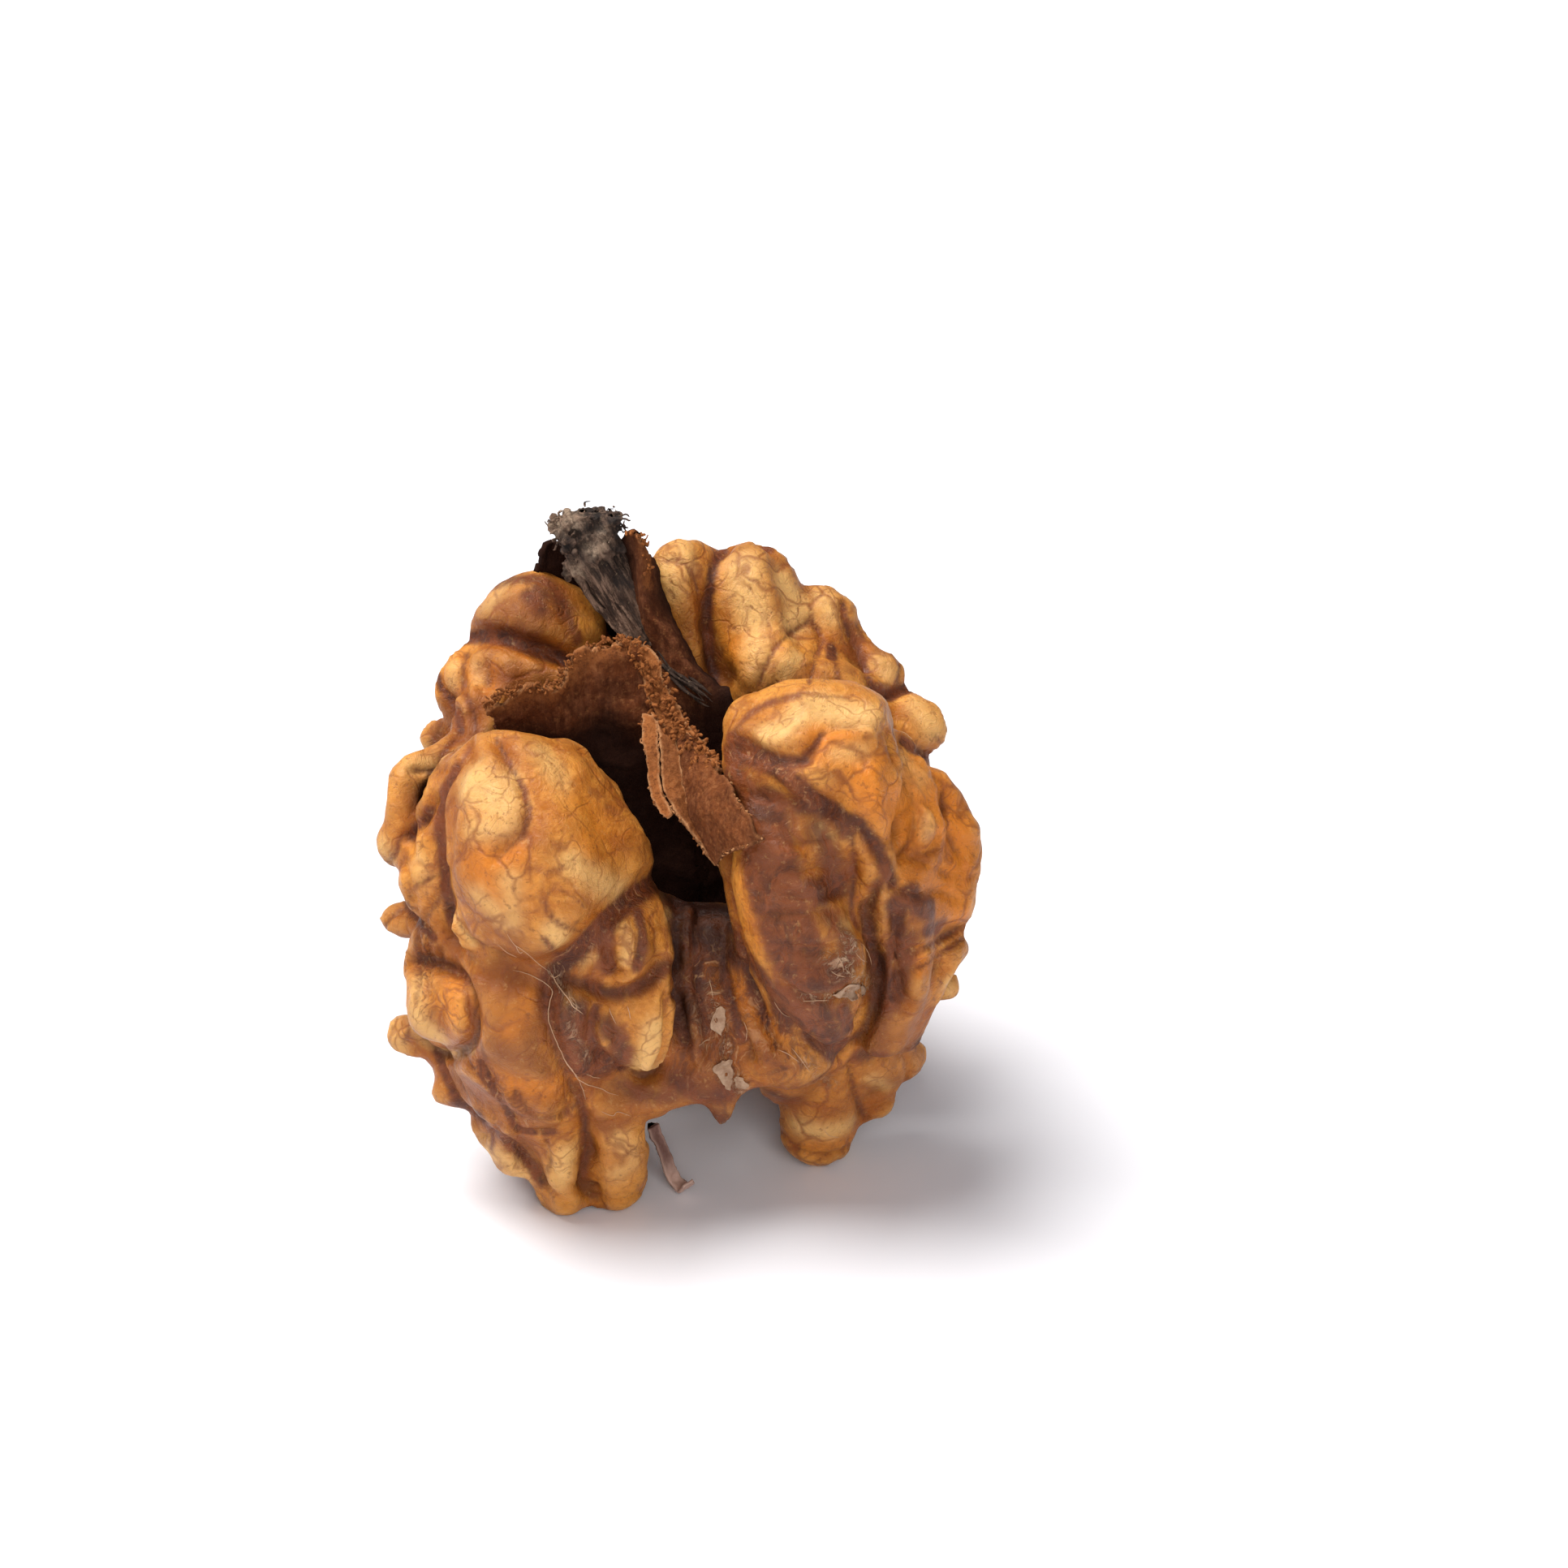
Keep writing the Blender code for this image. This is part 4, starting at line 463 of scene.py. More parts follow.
PALE = [
    (1.5, 1.0, [(-11.3, 20.0), (-10.4, 19.4), (-9.5, 18.7)]),
    (1.0, 0.8, [(-9.0, 20.0), (-9.2, 17.8), (-10.8, 17.5)]),
    (1.1, 0.7, [(-7.2, 21.4), (-6.3, 20.0)]),
    (0.9, 0.7, [(-9.0, 14.6), (-9.0, 12.3), (-10.8, 13.7)]),
    (1.0, 0.85, [(-5.6, 15.5), (-4.2, 14.4), (-3.3, 13.9)]),
    (0.8, 0.85, [(-6.7, 11.9), (-6.3, 11.2)]),
    (0.4, 0.8, [(-12.4, 12.9), (-11.8, 11.9), (-11.2, 11.1)]),
    (0.6, 0.7, [(-2.9, 11.9), (-2.7, 11.0), (-2.9, 10.1)]),
    (0.5, 0.6, [(-5.1, 10.1), (-4.2, 10.3)]),
    (0.5, 0.7, [(-0.8, 13.7), (-0.6, 12.3)]),
    (0.8, 1.0, [(-1.3, 6.3), (-1.6, 5.0), (-2.2, 4.0)]),
    (0.9, 0.8, [(-14.5, 8.5), (-14.5, 6.9), (-13.3, 5.7)]),
    # Painted highlight: the pale lower rim of the low left nodule, lit from the table
    (0.4, 0.8, [(-15.4, 7.3), (-14.7, 5.7), (-13.1, 4.8), (-11.3, 5.1)]),
    (0.7, 0.7, [(-16.3, 6.2), (-15.8, 5.0)]),
    (0.7, 0.7, [(-16.4, 16.4), (-16.0, 15.7)]),
    (0.8, 0.6, [(-14.2, 15.5), (-14.0, 14.6)]),
    (0.7, 0.6, [(-14.9, 20.7), (-13.5, 21.0)]),
    (1.2, 0.9, [(-10.8, -0.9), (-9.5, -1.8), (-8.9, -2.6)]),
    (0.9, 0.7, [(-3.3, -0.2), (-2.6, -1.3), (-3.5, -2.2)]),
    (1.0, 0.9, [(-6.3, -1.0), (-6.7, -2.4)]),
    (0.9, 1.0, [(4.9, 22.5), (5.8, 22.8), (6.7, 23.5)]),
    (1.1, 1.0, [(7.4, 23.9), (9.0, 23.6), (10.3, 23.5)]),
    (0.8, 0.6, [(8.7, 21.4), (10.1, 21.6)]),
    (0.9, 0.5, [(12.4, 21.0), (13.3, 20.0)]),
    (0.7, 0.7, [(13.7, 17.8), (13.7, 17.1)]),
    (1.3, 1.0, [(3.5, 31.9), (3.7, 30.5), (4.2, 29.1)]),
    (1.2, 0.8, [(4.2, 27.8), (4.2, 26.4)]),
    (1.2, 0.9, [(5.8, 31.0), (6.7, 29.6), (6.0, 28.7)]),
    (1.0, 0.8, [(8.0, 30.3), (8.5, 29.4)]),
    (0.9, 0.7, [(0.1, 33.2), (0.5, 31.9)]),
    (1.0, 0.8, [(-0.6, 31.9), (-0.4, 30.5)]),
    (0.7, 0.7, [(6.5, 26.9), (5.8, 26.2)]),
    (0.9, 0.8, [(11.2, 26.6), (11.7, 26.0)]),
    (1.0, 0.8, [(13.3, 24.1), (14.2, 22.8)]),
    (1.0, 0.6, [(-10.8, 29.8), (-9.9, 30.7)]),
    (0.6, 1.0, [(-13.8, 26.4), (-13.9, 25.6)]),
    (0.6, 0.8, [(-12.7, 26.3), (-12.7, 25.5)]),
    (0.7, 0.6, [(-11.3, 26.4), (-11.2, 25.5)]),
    (0.5, 0.7, [(7.8, 17.5), (8.5, 16.9)]),
    (0.5, 0.5, [(8.5, 12.2), (9.4, 12.1)]),
    (0.9, 0.8, [(6.7, 0.3), (8.3, 0.0), (9.4, 0.3)]),
    (0.6, 0.6, [(10.8, 3.2), (11.7, 2.5)]),
    (0.6, 0.7, [(14.9, 8.7), (15.2, 8.0)]),
]
AMBER = [
    (1.6, 0.9, [(13.0, 20.5), (14.2, 17.4), (15.4, 15.6)]),
    (1.3, 0.8, [(12.4, 16.0), (13.2, 14.8), (14.6, 14.6)]),
    (1.8, 0.9, [(8.3, 22.3), (9.6, 21.4), (10.5, 20.0)]),
    (1.8, 1.0, [(11.0, 19.1), (12.4, 17.8), (12.4, 16.4)]),
    (2.0, 1.0, [(14.2, 19.1), (15.1, 16.4), (14.6, 14.1)]),
    (1.2, 0.8, [(15.3, 13.2), (15.5, 12.3)]),
    (0.8, 0.8, [(13.0, 10.5), (13.3, 9.6)]),
    (1.0, 0.6, [(-10.6, 18.5), (-10.4, 18.0)]),
    (1.6, 0.7, [(-9.0, 15.5), (-10.8, 15.0), (-9.0, 13.7)]),
    (1.4, 0.6, [(-5.4, 19.1), (-4.5, 17.8), (-4.9, 16.4)]),
    (1.2, 0.6, [(-8.1, 7.8), (-9.0, 6.4)]),
    (1.3, 0.7, [(-9.0, 3.2), (-7.2, 2.8), (-6.3, 3.7)]),
    (0.9, 0.6, [(-12.6, 8.7), (-12.4, 7.3)]),
    (1.2, 0.7, [(3.5, 9.6), (4.2, 7.8), (5.1, 6.0)]),
    (1.2, 0.6, [(4.0, 14.6), (4.2, 12.8), (4.6, 11.4)]),
    (1.4, 0.7, [(3.7, 26.4), (2.8, 27.3)]),
    (1.2, 0.5, [(13.3, 22.8), (14.2, 21.9)]),
    (0.9, 0.6, [(11.0, 0.0), (7.4, -0.9)]),
    (1.0, 0.6, [(-12.6, 26.4), (-10.8, 25.0)]),
]
# Red brown, its strokes over the belly partly painted shade
RUSSET = [
    (2.0, 1.0, [(1.0, 10.5), (1.4, 7.5), (2.0, 4.5)]),
    (1.6, 0.9, [(3.4, 8.5), (4.4, 6.0), (5.4, 4.2)]),
    (1.4, 0.8, [(-12.0, 29.0), (-10.0, 29.6), (-8.4, 29.0)]),
    (1.5, 0.8, [(-9.4, 25.6), (-8.0, 24.6), (-7.4, 26.0)]),
    (1.4, 0.7, [(-12.8, 24.0), (-11.6, 22.4), (-11.0, 24.6)]),
    (1.6, 0.7, [(-10.8, 9.1), (-9.0, 9.1), (-8.1, 5.5)]),
    (1.6, 0.7, [(-9.9, 5.0), (-8.1, 4.6), (-7.2, 2.3)]),
    (1.4, 0.7, [(-3.5, 2.3), (-2.2, 1.4), (-4.5, 1.0)]),
    (1.2, 0.6, [(-12.6, 3.2), (-10.8, 2.3)]),
    (1.4, 0.8, [(0.1, 10.0), (0.1, 7.3), (0.5, 5.0)]),
    (1.2, 0.9, [(-0.4, 3.7), (1.5, 3.2), (2.8, 2.8)]),
    (1.1, 0.9, [(11.2, 7.8), (11.1, 6.2), (11.0, 4.6)]),
    (1.0, 0.7, [(10.1, 11.9), (10.4, 10.5)]),
    (0.9, 0.6, [(-1.7, 11.0), (-1.2, 9.6)]),
    (1.2, 0.6, [(1.5, 9.1), (1.7, 6.9)]),
    (1.2, 0.7, [(-6.7, 29.1), (-6.3, 30.5)]),
    (1.2, 0.6, [(0.5, 29.1), (0.1, 27.8)]),
    (1.0, 0.6, [(-14.2, 17.8), (-14.5, 19.1)]),
    (1.2, 0.6, [(7.8, 2.8), (6.9, 1.9)]),
    (1.4, 0.6, [(6.5, 17.8), (7.8, 16.0), (8.7, 15.0)]),
    (1.0, 0.7, [(7.4, 12.3), (9.2, 12.3)]),
]
# Painted shade at the mouth of the cleft, on the top of the web under the partition
SHADE_STROKES = [
    (1.6, 1.0, [(-0.6, 13.5), (1.0, 13.0), (2.6, 12.9)]),
    (1.5, 0.7, [(0.0, 11.8), (1.6, 11.5), (2.8, 11.0)]),
    (0.9, 0.6, [(-0.2, 12.0), (-0.1, 9.0), (0.0, 6.5)]),
]
FIBRE = [
    (0.8, 0.9, [(-0.6, 14.8), (-2.0, 14.0), (-3.2, 13.0), (-4.4, 11.7), (-5.5, 10.6), (-6.7, 9.4)]),
    (0.8, 1.0, [(-14.1, 11.4), (-14.0, 9.6), (-14.1, 7.5)]),
    (0.6, 0.9, [(-15.8, 14.4), (-14.9, 13.0), (-13.8, 11.4)]),
    (1.8, 1.0, [(1.5, 10.0), (2.4, 7.3), (2.6, 4.6)]),
    (1.6, 1.0, [(4.2, 8.7), (5.1, 6.4), (6.0, 4.4)]),
    (1.2, 0.8, [(0.1, 9.1), (0.5, 6.4), (0.3, 4.1)]),
    (0.6, 0.9, [(3.0, 21.6), (4.9, 21.1), (6.0, 20.3), (7.4, 19.1), (8.7, 18.2)]),
    (0.8, 0.8, [(-10.8, 4.1), (-9.7, 2.5), (-8.5, 1.0)]),
    (0.7, 0.7, [(-12.6, 3.7), (-11.3, 1.9), (-9.0, -0.9)]),
    (1.0, 0.6, [(-2.6, 13.2), (-1.7, 12.3)]),
    (0.9, 0.7, [(2.4, 2.3), (2.4, 0.7)]),
]
FROSTED = [
    (0.4, 1.0, [(9.3, 11.4), (9.8, 10.6), (9.9, 9.6), (9.8, 8.9)]),
    (0.5, 1.0, [(9.0, 10.2), (9.5, 9.6), (9.9, 9.0), (10.4, 8.6)]),
    (0.35, 0.9, [(7.0, 8.3), (8.0, 8.2), (9.0, 8.5), (10.2, 8.5)]),
    (0.4, 0.5, [(8.2, 10.4), (8.6, 9.6), (9.2, 9.0)]),
    (0.4, 0.7, [(1.9, 8.6), (2.1, 7.2), (2.3, 6.2)]),
    (0.4, 0.7, [(2.6, 5.2), (2.5, 4.0), (3.3, 3.2), (3.6, 2.6)]),
    (0.3, 0.5, [(0.9, 7.6), (1.2, 6.2), (1.5, 5.3)]),
    (0.3, 0.5, [(-5.9, 6.6), (-5.5, 5.4), (-4.9, 4.6)]),
    (0.35, 0.6, [(-6.9, 9.6), (-6.4, 8.7), (-5.6, 7.6)]),
    (0.3, 0.5, [(7.0, 4.4), (7.9, 3.4), (8.6, 2.8)]),
]


def stand(across, rise, depth):
    """A spot as the camera sees it, in mm, as x, y, z in the model's frame."""
    upright = (rise - depth * math.sin(SIGHT_ANGLE)) / math.cos(SIGHT_ANGLE)
    return across + MIDDLE[0], depth + MIDDLE[1], upright


def smooth_line(points, step):
    """A Catmull-Rom curve through points of any number of columns, with a spot every step."""
    knots = np.array(points, float)
    if len(knots) == 1:
        return knots
    knots = np.vstack([2 * knots[0] - knots[1], knots, 2 * knots[-1] - knots[-2]])
    out = []
    for a, b, c, d in zip(knots, knots[1:], knots[2:], knots[3:]):
        count = max(2, math.ceil(np.linalg.norm((c - b)[:3]) / step))
        t = (np.arange(count) / count)[:, None]
        bend = (2 * a - 5 * b + 4 * c - d) * t**2 + (3 * b - a - 3 * c + d) * t**3
        out.append(0.5 * (2 * b + (c - a) * t + bend))
    return np.vstack(out + [knots[-2:-1]])


def applied(obj):
    """A new mesh of obj with its modifiers applied."""
    graph = bpy.context.evaluated_depsgraph_get()
    graph.update()
    return bpy.data.meshes.new_from_object(obj.evaluated_get(graph))


def reskinned(mesh, grain):
    """An even skin of small quads round the mesh, as points in mm, quads and edges."""
    obj = bpy.data.objects.new("rough", mesh)
    bpy.context.scene.collection.objects.link(obj)
    skin = obj.modifiers.new("skin", "REMESH")
    skin.mode = "VOXEL"
    skin.voxel_size = grain
    found = applied(obj)
    bpy.data.objects.remove(obj)
    points = np.empty(3 * len(found.vertices))
    found.vertices.foreach_get("co", points)
    edges = np.empty(2 * len(found.edges), int)
    found.edges.foreach_get("vertices", edges)
    quads = np.array([p.vertices[:] for p in found.polygons if len(p.vertices) == 4])
    return points.reshape(-1, 3), quads, edges.reshape(-1, 2)


def eased(values, edges, rounds, share=0.5):
    """Moves each row of values towards the mean of its neighbours' rows, some rounds over."""
    values = np.array(values, float)
    flat = values.ndim == 1
    if flat:
        values = values[:, None]
    count = np.bincount(edges.ravel(), minlength=len(values))[:, None]
    for _ in range(rounds):
        total = np.empty_like(values)
        for k in range(values.shape[1]):
            total[:, k] = np.bincount(edges[:, 0], values[edges[:, 1], k], len(values))
            total[:, k] += np.bincount(edges[:, 1], values[edges[:, 0], k], len(values))
        values += share * (total / count - values)
    return values[:, 0] if flat else values


def normals_of(points, quads):
    """Outward normal at each point of a skin of quads."""
    across = np.cross(points[quads[:, 2]] - points[quads[:, 0]], points[quads[:, 3]] - points[quads[:, 1]])
    found = np.zeros_like(points)
    for k in range(4):
        for axis in range(3):
            found[:, axis] += np.bincount(quads[:, k], across[:, axis], len(points))
    return found / np.maximum(1e-12, np.linalg.norm(found, axis=1))[:, None]


def on_skin(tree, line):
    """Where the spots of a seen line fall on the skin, looked at from the camera's side."""
    found = []
    for across, rise in line:
        hit = tree.ray_cast(Vector(stand(across, rise, -60)), -SIGHT)[0]
        if hit is not None:
            found.append(hit)
    return np.array(found)


def away_from(points, line, reach):
    """Distance of each point from the spots of a line, or more than reach."""
    found = np.full(len(points), 10 * reach)
    low, high = line.min(axis=0) - reach, line.max(axis=0) + reach
    near = np.flatnonzero(((points > low) & (points < high)).all(axis=1))
    for spot in line:
        found[near] = np.minimum(found[near], np.linalg.norm(points[near] - spot, axis=1))
    return found


def brushed(points, tree, strokes, step=0.15):
    """How strongly each point is touched by brush strokes: half width, strength, (across, rise)..."""
    found = np.zeros(len(points))
    for width, strength, spots in strokes:
        line = on_skin(tree, smooth_line(spots, step))
        if len(line):
            found = np.maximum(found, strength * np.exp(-(away_from(points, line, 3 * width) / width)**2))
    return found


def bumps(points, size, octaves=2):
    """Soft noise from -1 to 1 at each point, its lumps about size mm wide."""
    return np.array([noise.fractal(Vector(p) / size, 1.0, 2.0, octaves) for p in points])


def step_up(values, low, high):
    """A smooth step from 0 at low to 1 at high."""
    t = np.clip((values - low) / (high - low), 0, 1)
    return t * t * (3 - 2 * t)


def new_piece(name, points, faces, finish):
    """A smooth shaded object from points in mm."""
    mesh = bpy.data.meshes.new(name)
    mesh.from_pydata((points * MM).tolist(), [], faces.tolist() if hasattr(faces, "tolist") else faces)
    mesh.materials.append(finish)
    mesh.shade_smooth()
    piece = bpy.data.objects.new(name, mesh)
    bpy.context.scene.collection.objects.link(piece)
    return piece


def paint(piece, name, values):
    """Keeps one value a point with the piece, for its finish to read."""
    layer = piece.data.attributes.new(name, "FLOAT", "POINT")
    layer.data.foreach_set("value", np.asarray(values, np.float32))


def whole_mesh(node, scale):
    """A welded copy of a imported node's mesh."""
    bm = bmesh.new()
    bm.from_mesh(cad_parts[node].data)
    bmesh.ops.remove_doubles(bm, verts=bm.verts, dist=1e-6)
    bmesh.ops.scale(bm, vec=(scale, scale, scale), verts=bm.verts)
    copy = bpy.data.meshes.new(node + " copy")
    bm.to_mesh(copy)
    bm.free()
    return copy


def skin_tree_of(points, quads):
    """The skin as a tree, which finds where a ray meets it and which spot of it is nearest."""
    return BVHTree.FromPolygons(points.tolist(), quads.tolist())


def net_away(points, cell, warp):
    """Distance of each point, in mm, from a wandering net of lines about cell mm apart."""
    found = []
    for point in points:
        spot = Vector(point) / cell
        spot += warp * noise.noise_vector(1.3 * spot) + 0.35 * warp * noise.noise_vector(3.7 * spot)
        near = noise.voronoi(spot)[0]
        found.append((near[1] - near[0]) * cell / 2)
    return np.array(found)


def shut_in(points, normals, tree, reach):
    """What share of the open air over each point is blocked within reach mm."""
    blocked = np.zeros(len(points))
    tried = np.zeros(len(points))
    for k in range(GLOOM_WAYS):
        up = 1 - 2 * (k + 0.5) / GLOOM_WAYS
        turn = k * math.pi * (3 - math.sqrt(5))
        level = math.sqrt(1 - up * up)
        way = Vector((level * math.cos(turn), level * math.sin(turn), up))
        slant = normals @ np.array(way)
        for i in np.flatnonzero(slant > LEAST_SLANT):
            start = Vector(points[i] + GLOOM_LIFT * normals[i])
            tried[i] += slant[i]
            if tree.ray_cast(start, way, reach)[0] is not None:
                blocked[i] += slant[i]
    return blocked / np.maximum(tried, 0.01)


# The plain model with its skin made even, a few swellings moved, and its wide creases filled
points, quads, edges = reskinned(whole_mesh("kernel", 1 / MM), SKIN_GRAIN)
points = eased(points, edges, SKIN_EASE)
for across, rise, depth, reach, shift in NUDGES:
    away = np.linalg.norm(points - stand(across, rise, depth), axis=1)
    points += np.exp(-(away / reach)**2)[:, None] * shift
fill = brushed(points, skin_tree_of(points, quads), FILLED)
points += fill[:, None] * (eased(points, edges, FILL_EASE) - points)
normals = normals_of(points, quads)
relief = ((points - eased(points, edges, 30)) * normals).sum(axis=1)
points += normals * (SWELL_GAIN * np.clip(relief, -SWELL_MOST, SWELL_MOST))[:, None]
skin_tree = skin_tree_of(points, quads)

# How much of each spot the camera sees: the drawn creases rule there, and grown ones elsewhere
normals = normals_of(eased(points, edges, 3), quads)
facing = normals @ np.array(SIGHT)
seen = step_up(facing, 0.0, 0.25)
for k in np.flatnonzero(seen > 0):
    if skin_tree.ray_cast(Vector(points[k] + 0.4 * normals[k]), SIGHT)[0] is not None:
        seen[k] = 0
seen = eased(seen, edges, 8)
hidden = 1 - seen

# The creases, pressed in, and the fine wrinkles over all
points += normals * (LUMP_HIGH * hidden * bumps(points, LUMP_WIDE))[:, None]
narrower = [(GROOVE_NARROWER * width, *rest) for width, *rest in GROOVES]
sink = GROOVE_DEEPER * brushed(points, skin_tree, narrower)
grown = net_away(points, WIDE_NET, 0.55)
fine = net_away(points + 31, FINE_NET, 0.5)
sink = np.maximum(sink, brushed(points, skin_tree, DEEP))
sink = np.maximum(sink, FOLD_DEEP * hidden * np.exp(-(grown / FOLD_HALF)**2))
sink = np.maximum(sink, CREASE_DEEP * hidden * np.exp(-(fine / CREASE_HALF)**2))
points -= normals * sink[:, None]
wrinkles = WAVE_HIGH * bumps(points, WAVE_WIDE, 3) + PIMPLE_HIGH * bumps(points + 5, PIMPLE_WIDE)
points += normals * wrinkles[:, None]
points = eased(points, edges, 1)
kernel_low, kernel_high = (np.array(corner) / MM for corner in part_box("kernel"))
points = np.clip(points, kernel_low - 0.1, kernel_high + (0.1, 0.1, 0.4))
points[:, 2] = np.maximum(points[:, 2], 0)

# What the finish is told of each spot: folds, swellings, how far it is painted dark, pale and so on, and
# where shade is painted
normals = normals_of(points, quads)
relief = ((points - eased(points, edges, 45)) * normals).sum(axis=1)
# under and hollow carry painted shade: the skin is laid darker where it faces down and in its hollows
under = step_up(-normals[:, 2], -0.05, 0.7)
hollow = np.clip(-relief / 0.45, 0, 1)
crest = np.clip(relief / 0.6, 0, 1)
skin_tree = skin_tree_of(points, quads)
shade = bumps(points, 6.5, 3)
patchy = bumps(points + 17, 3.4, 3)
# The dark places: the skin's own purple brown, partly painted shade in the folds, the hollows and under the
# partition
dark = brushed(points, skin_tree, DARK + FOLD_SHADE_AND_STAIN)
dark = np.maximum(dark, hidden * 0.85 * np.exp(-(grown / 0.4)**2) * step_up(patchy, -0.5, 0.1))
dark = np.maximum(dark, hidden * 0.5 * np.exp(-(fine / 0.16)**2) * step_up(patchy, -0.1, 0.4))
dark = np.maximum(dark, hidden * 0.8 * step_up(shade + 0.5 * hollow, 0.35, 0.8))
pale = brushed(points, skin_tree, PALE)
pale = np.maximum(pale, hidden * 0.9 * step_up(crest - 0.5 * shade, 0.35, 0.95))
amber = np.maximum(brushed(points, skin_tree, AMBER), hidden * 0.8 * step_up(patchy, 0.1, 0.6))
russet = np.maximum(brushed(points, skin_tree, RUSSET), hidden * 0.8 * step_up(-patchy, 0.15, 0.6))
# Painted shade: skin that faces down, above the table, is laid red brown
russet = np.maximum(russet, 0.75 * under * step_up(points[:, 2], 3.0, 6.0))
fibrous = np.maximum(brushed(points, skin_tree, FIBRE), hidden * 0.7 * np.exp(-(grown / 0.9)**2))
frosted = brushed(points, skin_tree, FROSTED)
# Painted shade: near black where nearby skin shuts out the open air, and under the partition
painted_shade = eased(step_up(shut_in(points, normals, skin_tree, GLOOM_REACH), 0.28, 0.85), edges, 6)
painted_shade = np.maximum(painted_shade, brushed(points, skin_tree, SHADE_STROKES))


def painted(tree, name):
    """The values that a piece keeps under name, for its finish."""
    return add(tree, "ShaderNodeAttribute", attribute_name=name).outputs["Fac"]


def stain(tree, color, name, ragging, over, share=0.8, amount=1.0, low=0.12, high=1.05):
    """Lays a colour where a painted value is high, its border frayed by noise."""
    value = painted(tree, name)
    ragged = work_out(tree, "SUBTRACT", ragging, 0.5, False)
    reach = work_out(tree, "MULTIPLY", between(tree, value, 0.0, 0.35), amount)
    frayed = work_out(tree, "MULTIPLY_ADD", ragged, reach, False, value)
    return tint(tree, between(tree, frayed, low, high, 0, share), color, over)


def glaze(tree, color, value, low, high, over, least=0, most=1):
    """Lays the colour over on color, from the share least where value is low to most where it is high."""
    return tint(tree, between(tree, value, low, high, least, most), color, over)


def dress(tree, shader, color, height, strength, distance):
    """Gives a finish its colour, and bumps of distance metres after height."""
    tree.links.new(color, shader.inputs["Base Color"])
    bump = add(tree, "ShaderNodeBump", {"Height": height, "Strength": strength, "Distance": distance})
    tree.links.new(bump.outputs[0], shader.inputs["Normal"])


def thread_net(tree, where, scale, width):
    """A net of fine lines, one where it runs and nought between."""
    cells = add(tree, "ShaderNodeTexVoronoi", {"Vector": where, "Scale": scale}, feature="DISTANCE_TO_EDGE")
    return between(tree, cells.outputs["Distance"], 0, width, 1, 0)


# The patterns of the skin, from the finest spots to the broadest, and its nets of veins
VEINS = [                          # scale, width, strength, and the noise from which they show
    (250, 0.065, 0.65, 0.40),
    (520, 0.075, 0.5, 0.43),
    (1150, 0.09, 0.3, 0.46),
]
BRANCHES = [                       # scale, the noise from which they show, and strength
    (230, 0.47, 0.65),
    (560, 0.52, 0.6),
    (1300, 0.54, 0.3),
]
SWIRLS = [                         # scale, and how far they bend the patterns, in metres
    (300, 0.0042),
    (950, 0.0012),
]
finish, skin, shader, place = new_finish("walnut skin")
speck = cloud(skin, place, 2300, 4, 0.7)
patch = cloud(skin, place, 520, 9, 0.72, 0.5)
broad = cloud(skin, place, 140, 5, 0.6, 0.4)
bent = place
for scale, reach in SWIRLS:
    swirl = add(skin, "ShaderNodeTexNoise",
                {"Vector": place, "Scale": scale, "Detail": 1.5, "Roughness": 0.5})
    warp = add(skin, "ShaderNodeVectorMath", {0: swirl.outputs["Color"], "Scale": reach}, operation="SCALE")
    bent = add(skin, "ShaderNodeVectorMath", {0: bent, 1: warp.outputs[0]}, operation="ADD").outputs[0]
stretched = add(skin, "ShaderNodeMapping", {"Vector": bent, "Scale": (1, 1, 0.09)}).outputs[0]
fibre = cloud(skin, stretched, 2400, 4, 0.65)
drawn = add(skin, "ShaderNodeMapping", {"Vector": bent, "Scale": (1, 1, 0.3)}).outputs[0]
smudge = cloud(skin, drawn, 700, 7, 0.7, 0.6)
crumbs = cloud(skin, drawn, 3000, 5, 0.75, 1.5)
creping = cloud(skin, place, 1100, 6, 0.7, 0.8)
veins = None
for scale, width, strength, low in VEINS:
    shown = between(skin, cloud(skin, place, 0.9 * scale, 4), low, low + 0.17, 0, strength)
    net = work_out(skin, "MULTIPLY", thread_net(skin, bent, scale, width), shown)
    veins = net if veins is None else work_out(skin, "MAXIMUM", veins, net)

# Its colours: the ground, the swellings, the painted places, then veins, fibres, specks and torn skin, and
# last the painted shade of the recesses
GROUND_BROWN = (0.43, 0.130, 0.013, 1)
GROUND_TAN = (0.64, 0.255, 0.040, 1)
BROAD_BROWN = (0.30, 0.080, 0.009, 1)
CREST_CREAM = (0.70, 0.345, 0.085, 1)
RED_BROWN = (0.17, 0.040, 0.008, 1)
ORANGE = (0.66, 0.20, 0.014, 1)
PALE_CREAM = (0.78, 0.465, 0.165, 1)
HOLLOW_BROWN = (0.105, 0.027, 0.007, 1)
PURPLE_BLACK = (0.066, 0.018, 0.010, 1)
PURPLE_BROWN = (0.19, 0.050, 0.016, 1)
VEIN_BROWN = (0.22, 0.055, 0.013, 1)
BRANCH_BROWN = (0.21, 0.058, 0.014, 1)
STREAK_BLACK = (0.09, 0.028, 0.014, 1)
GLINT_TAN = (0.52, 0.27, 0.12, 1)
SPECK_BROWN = (0.17, 0.045, 0.013, 1)
SPECK_CREAM = (0.72, 0.42, 0.16, 1)
TORN_WHITE = (0.60, 0.39, 0.24, 1)
SHADE_BLACK = (0.026, 0.008, 0.0045, 1)
color = glaze(skin, GROUND_BROWN, patch, 0.38, 0.62, GROUND_TAN)
color = glaze(skin, color, broad, 0.43, 0.60, BROAD_BROWN, 0, 0.75)
color = glaze(skin, color, painted(skin, "crest"), 0.0, 1.0, CREST_CREAM, 0, 0.6)
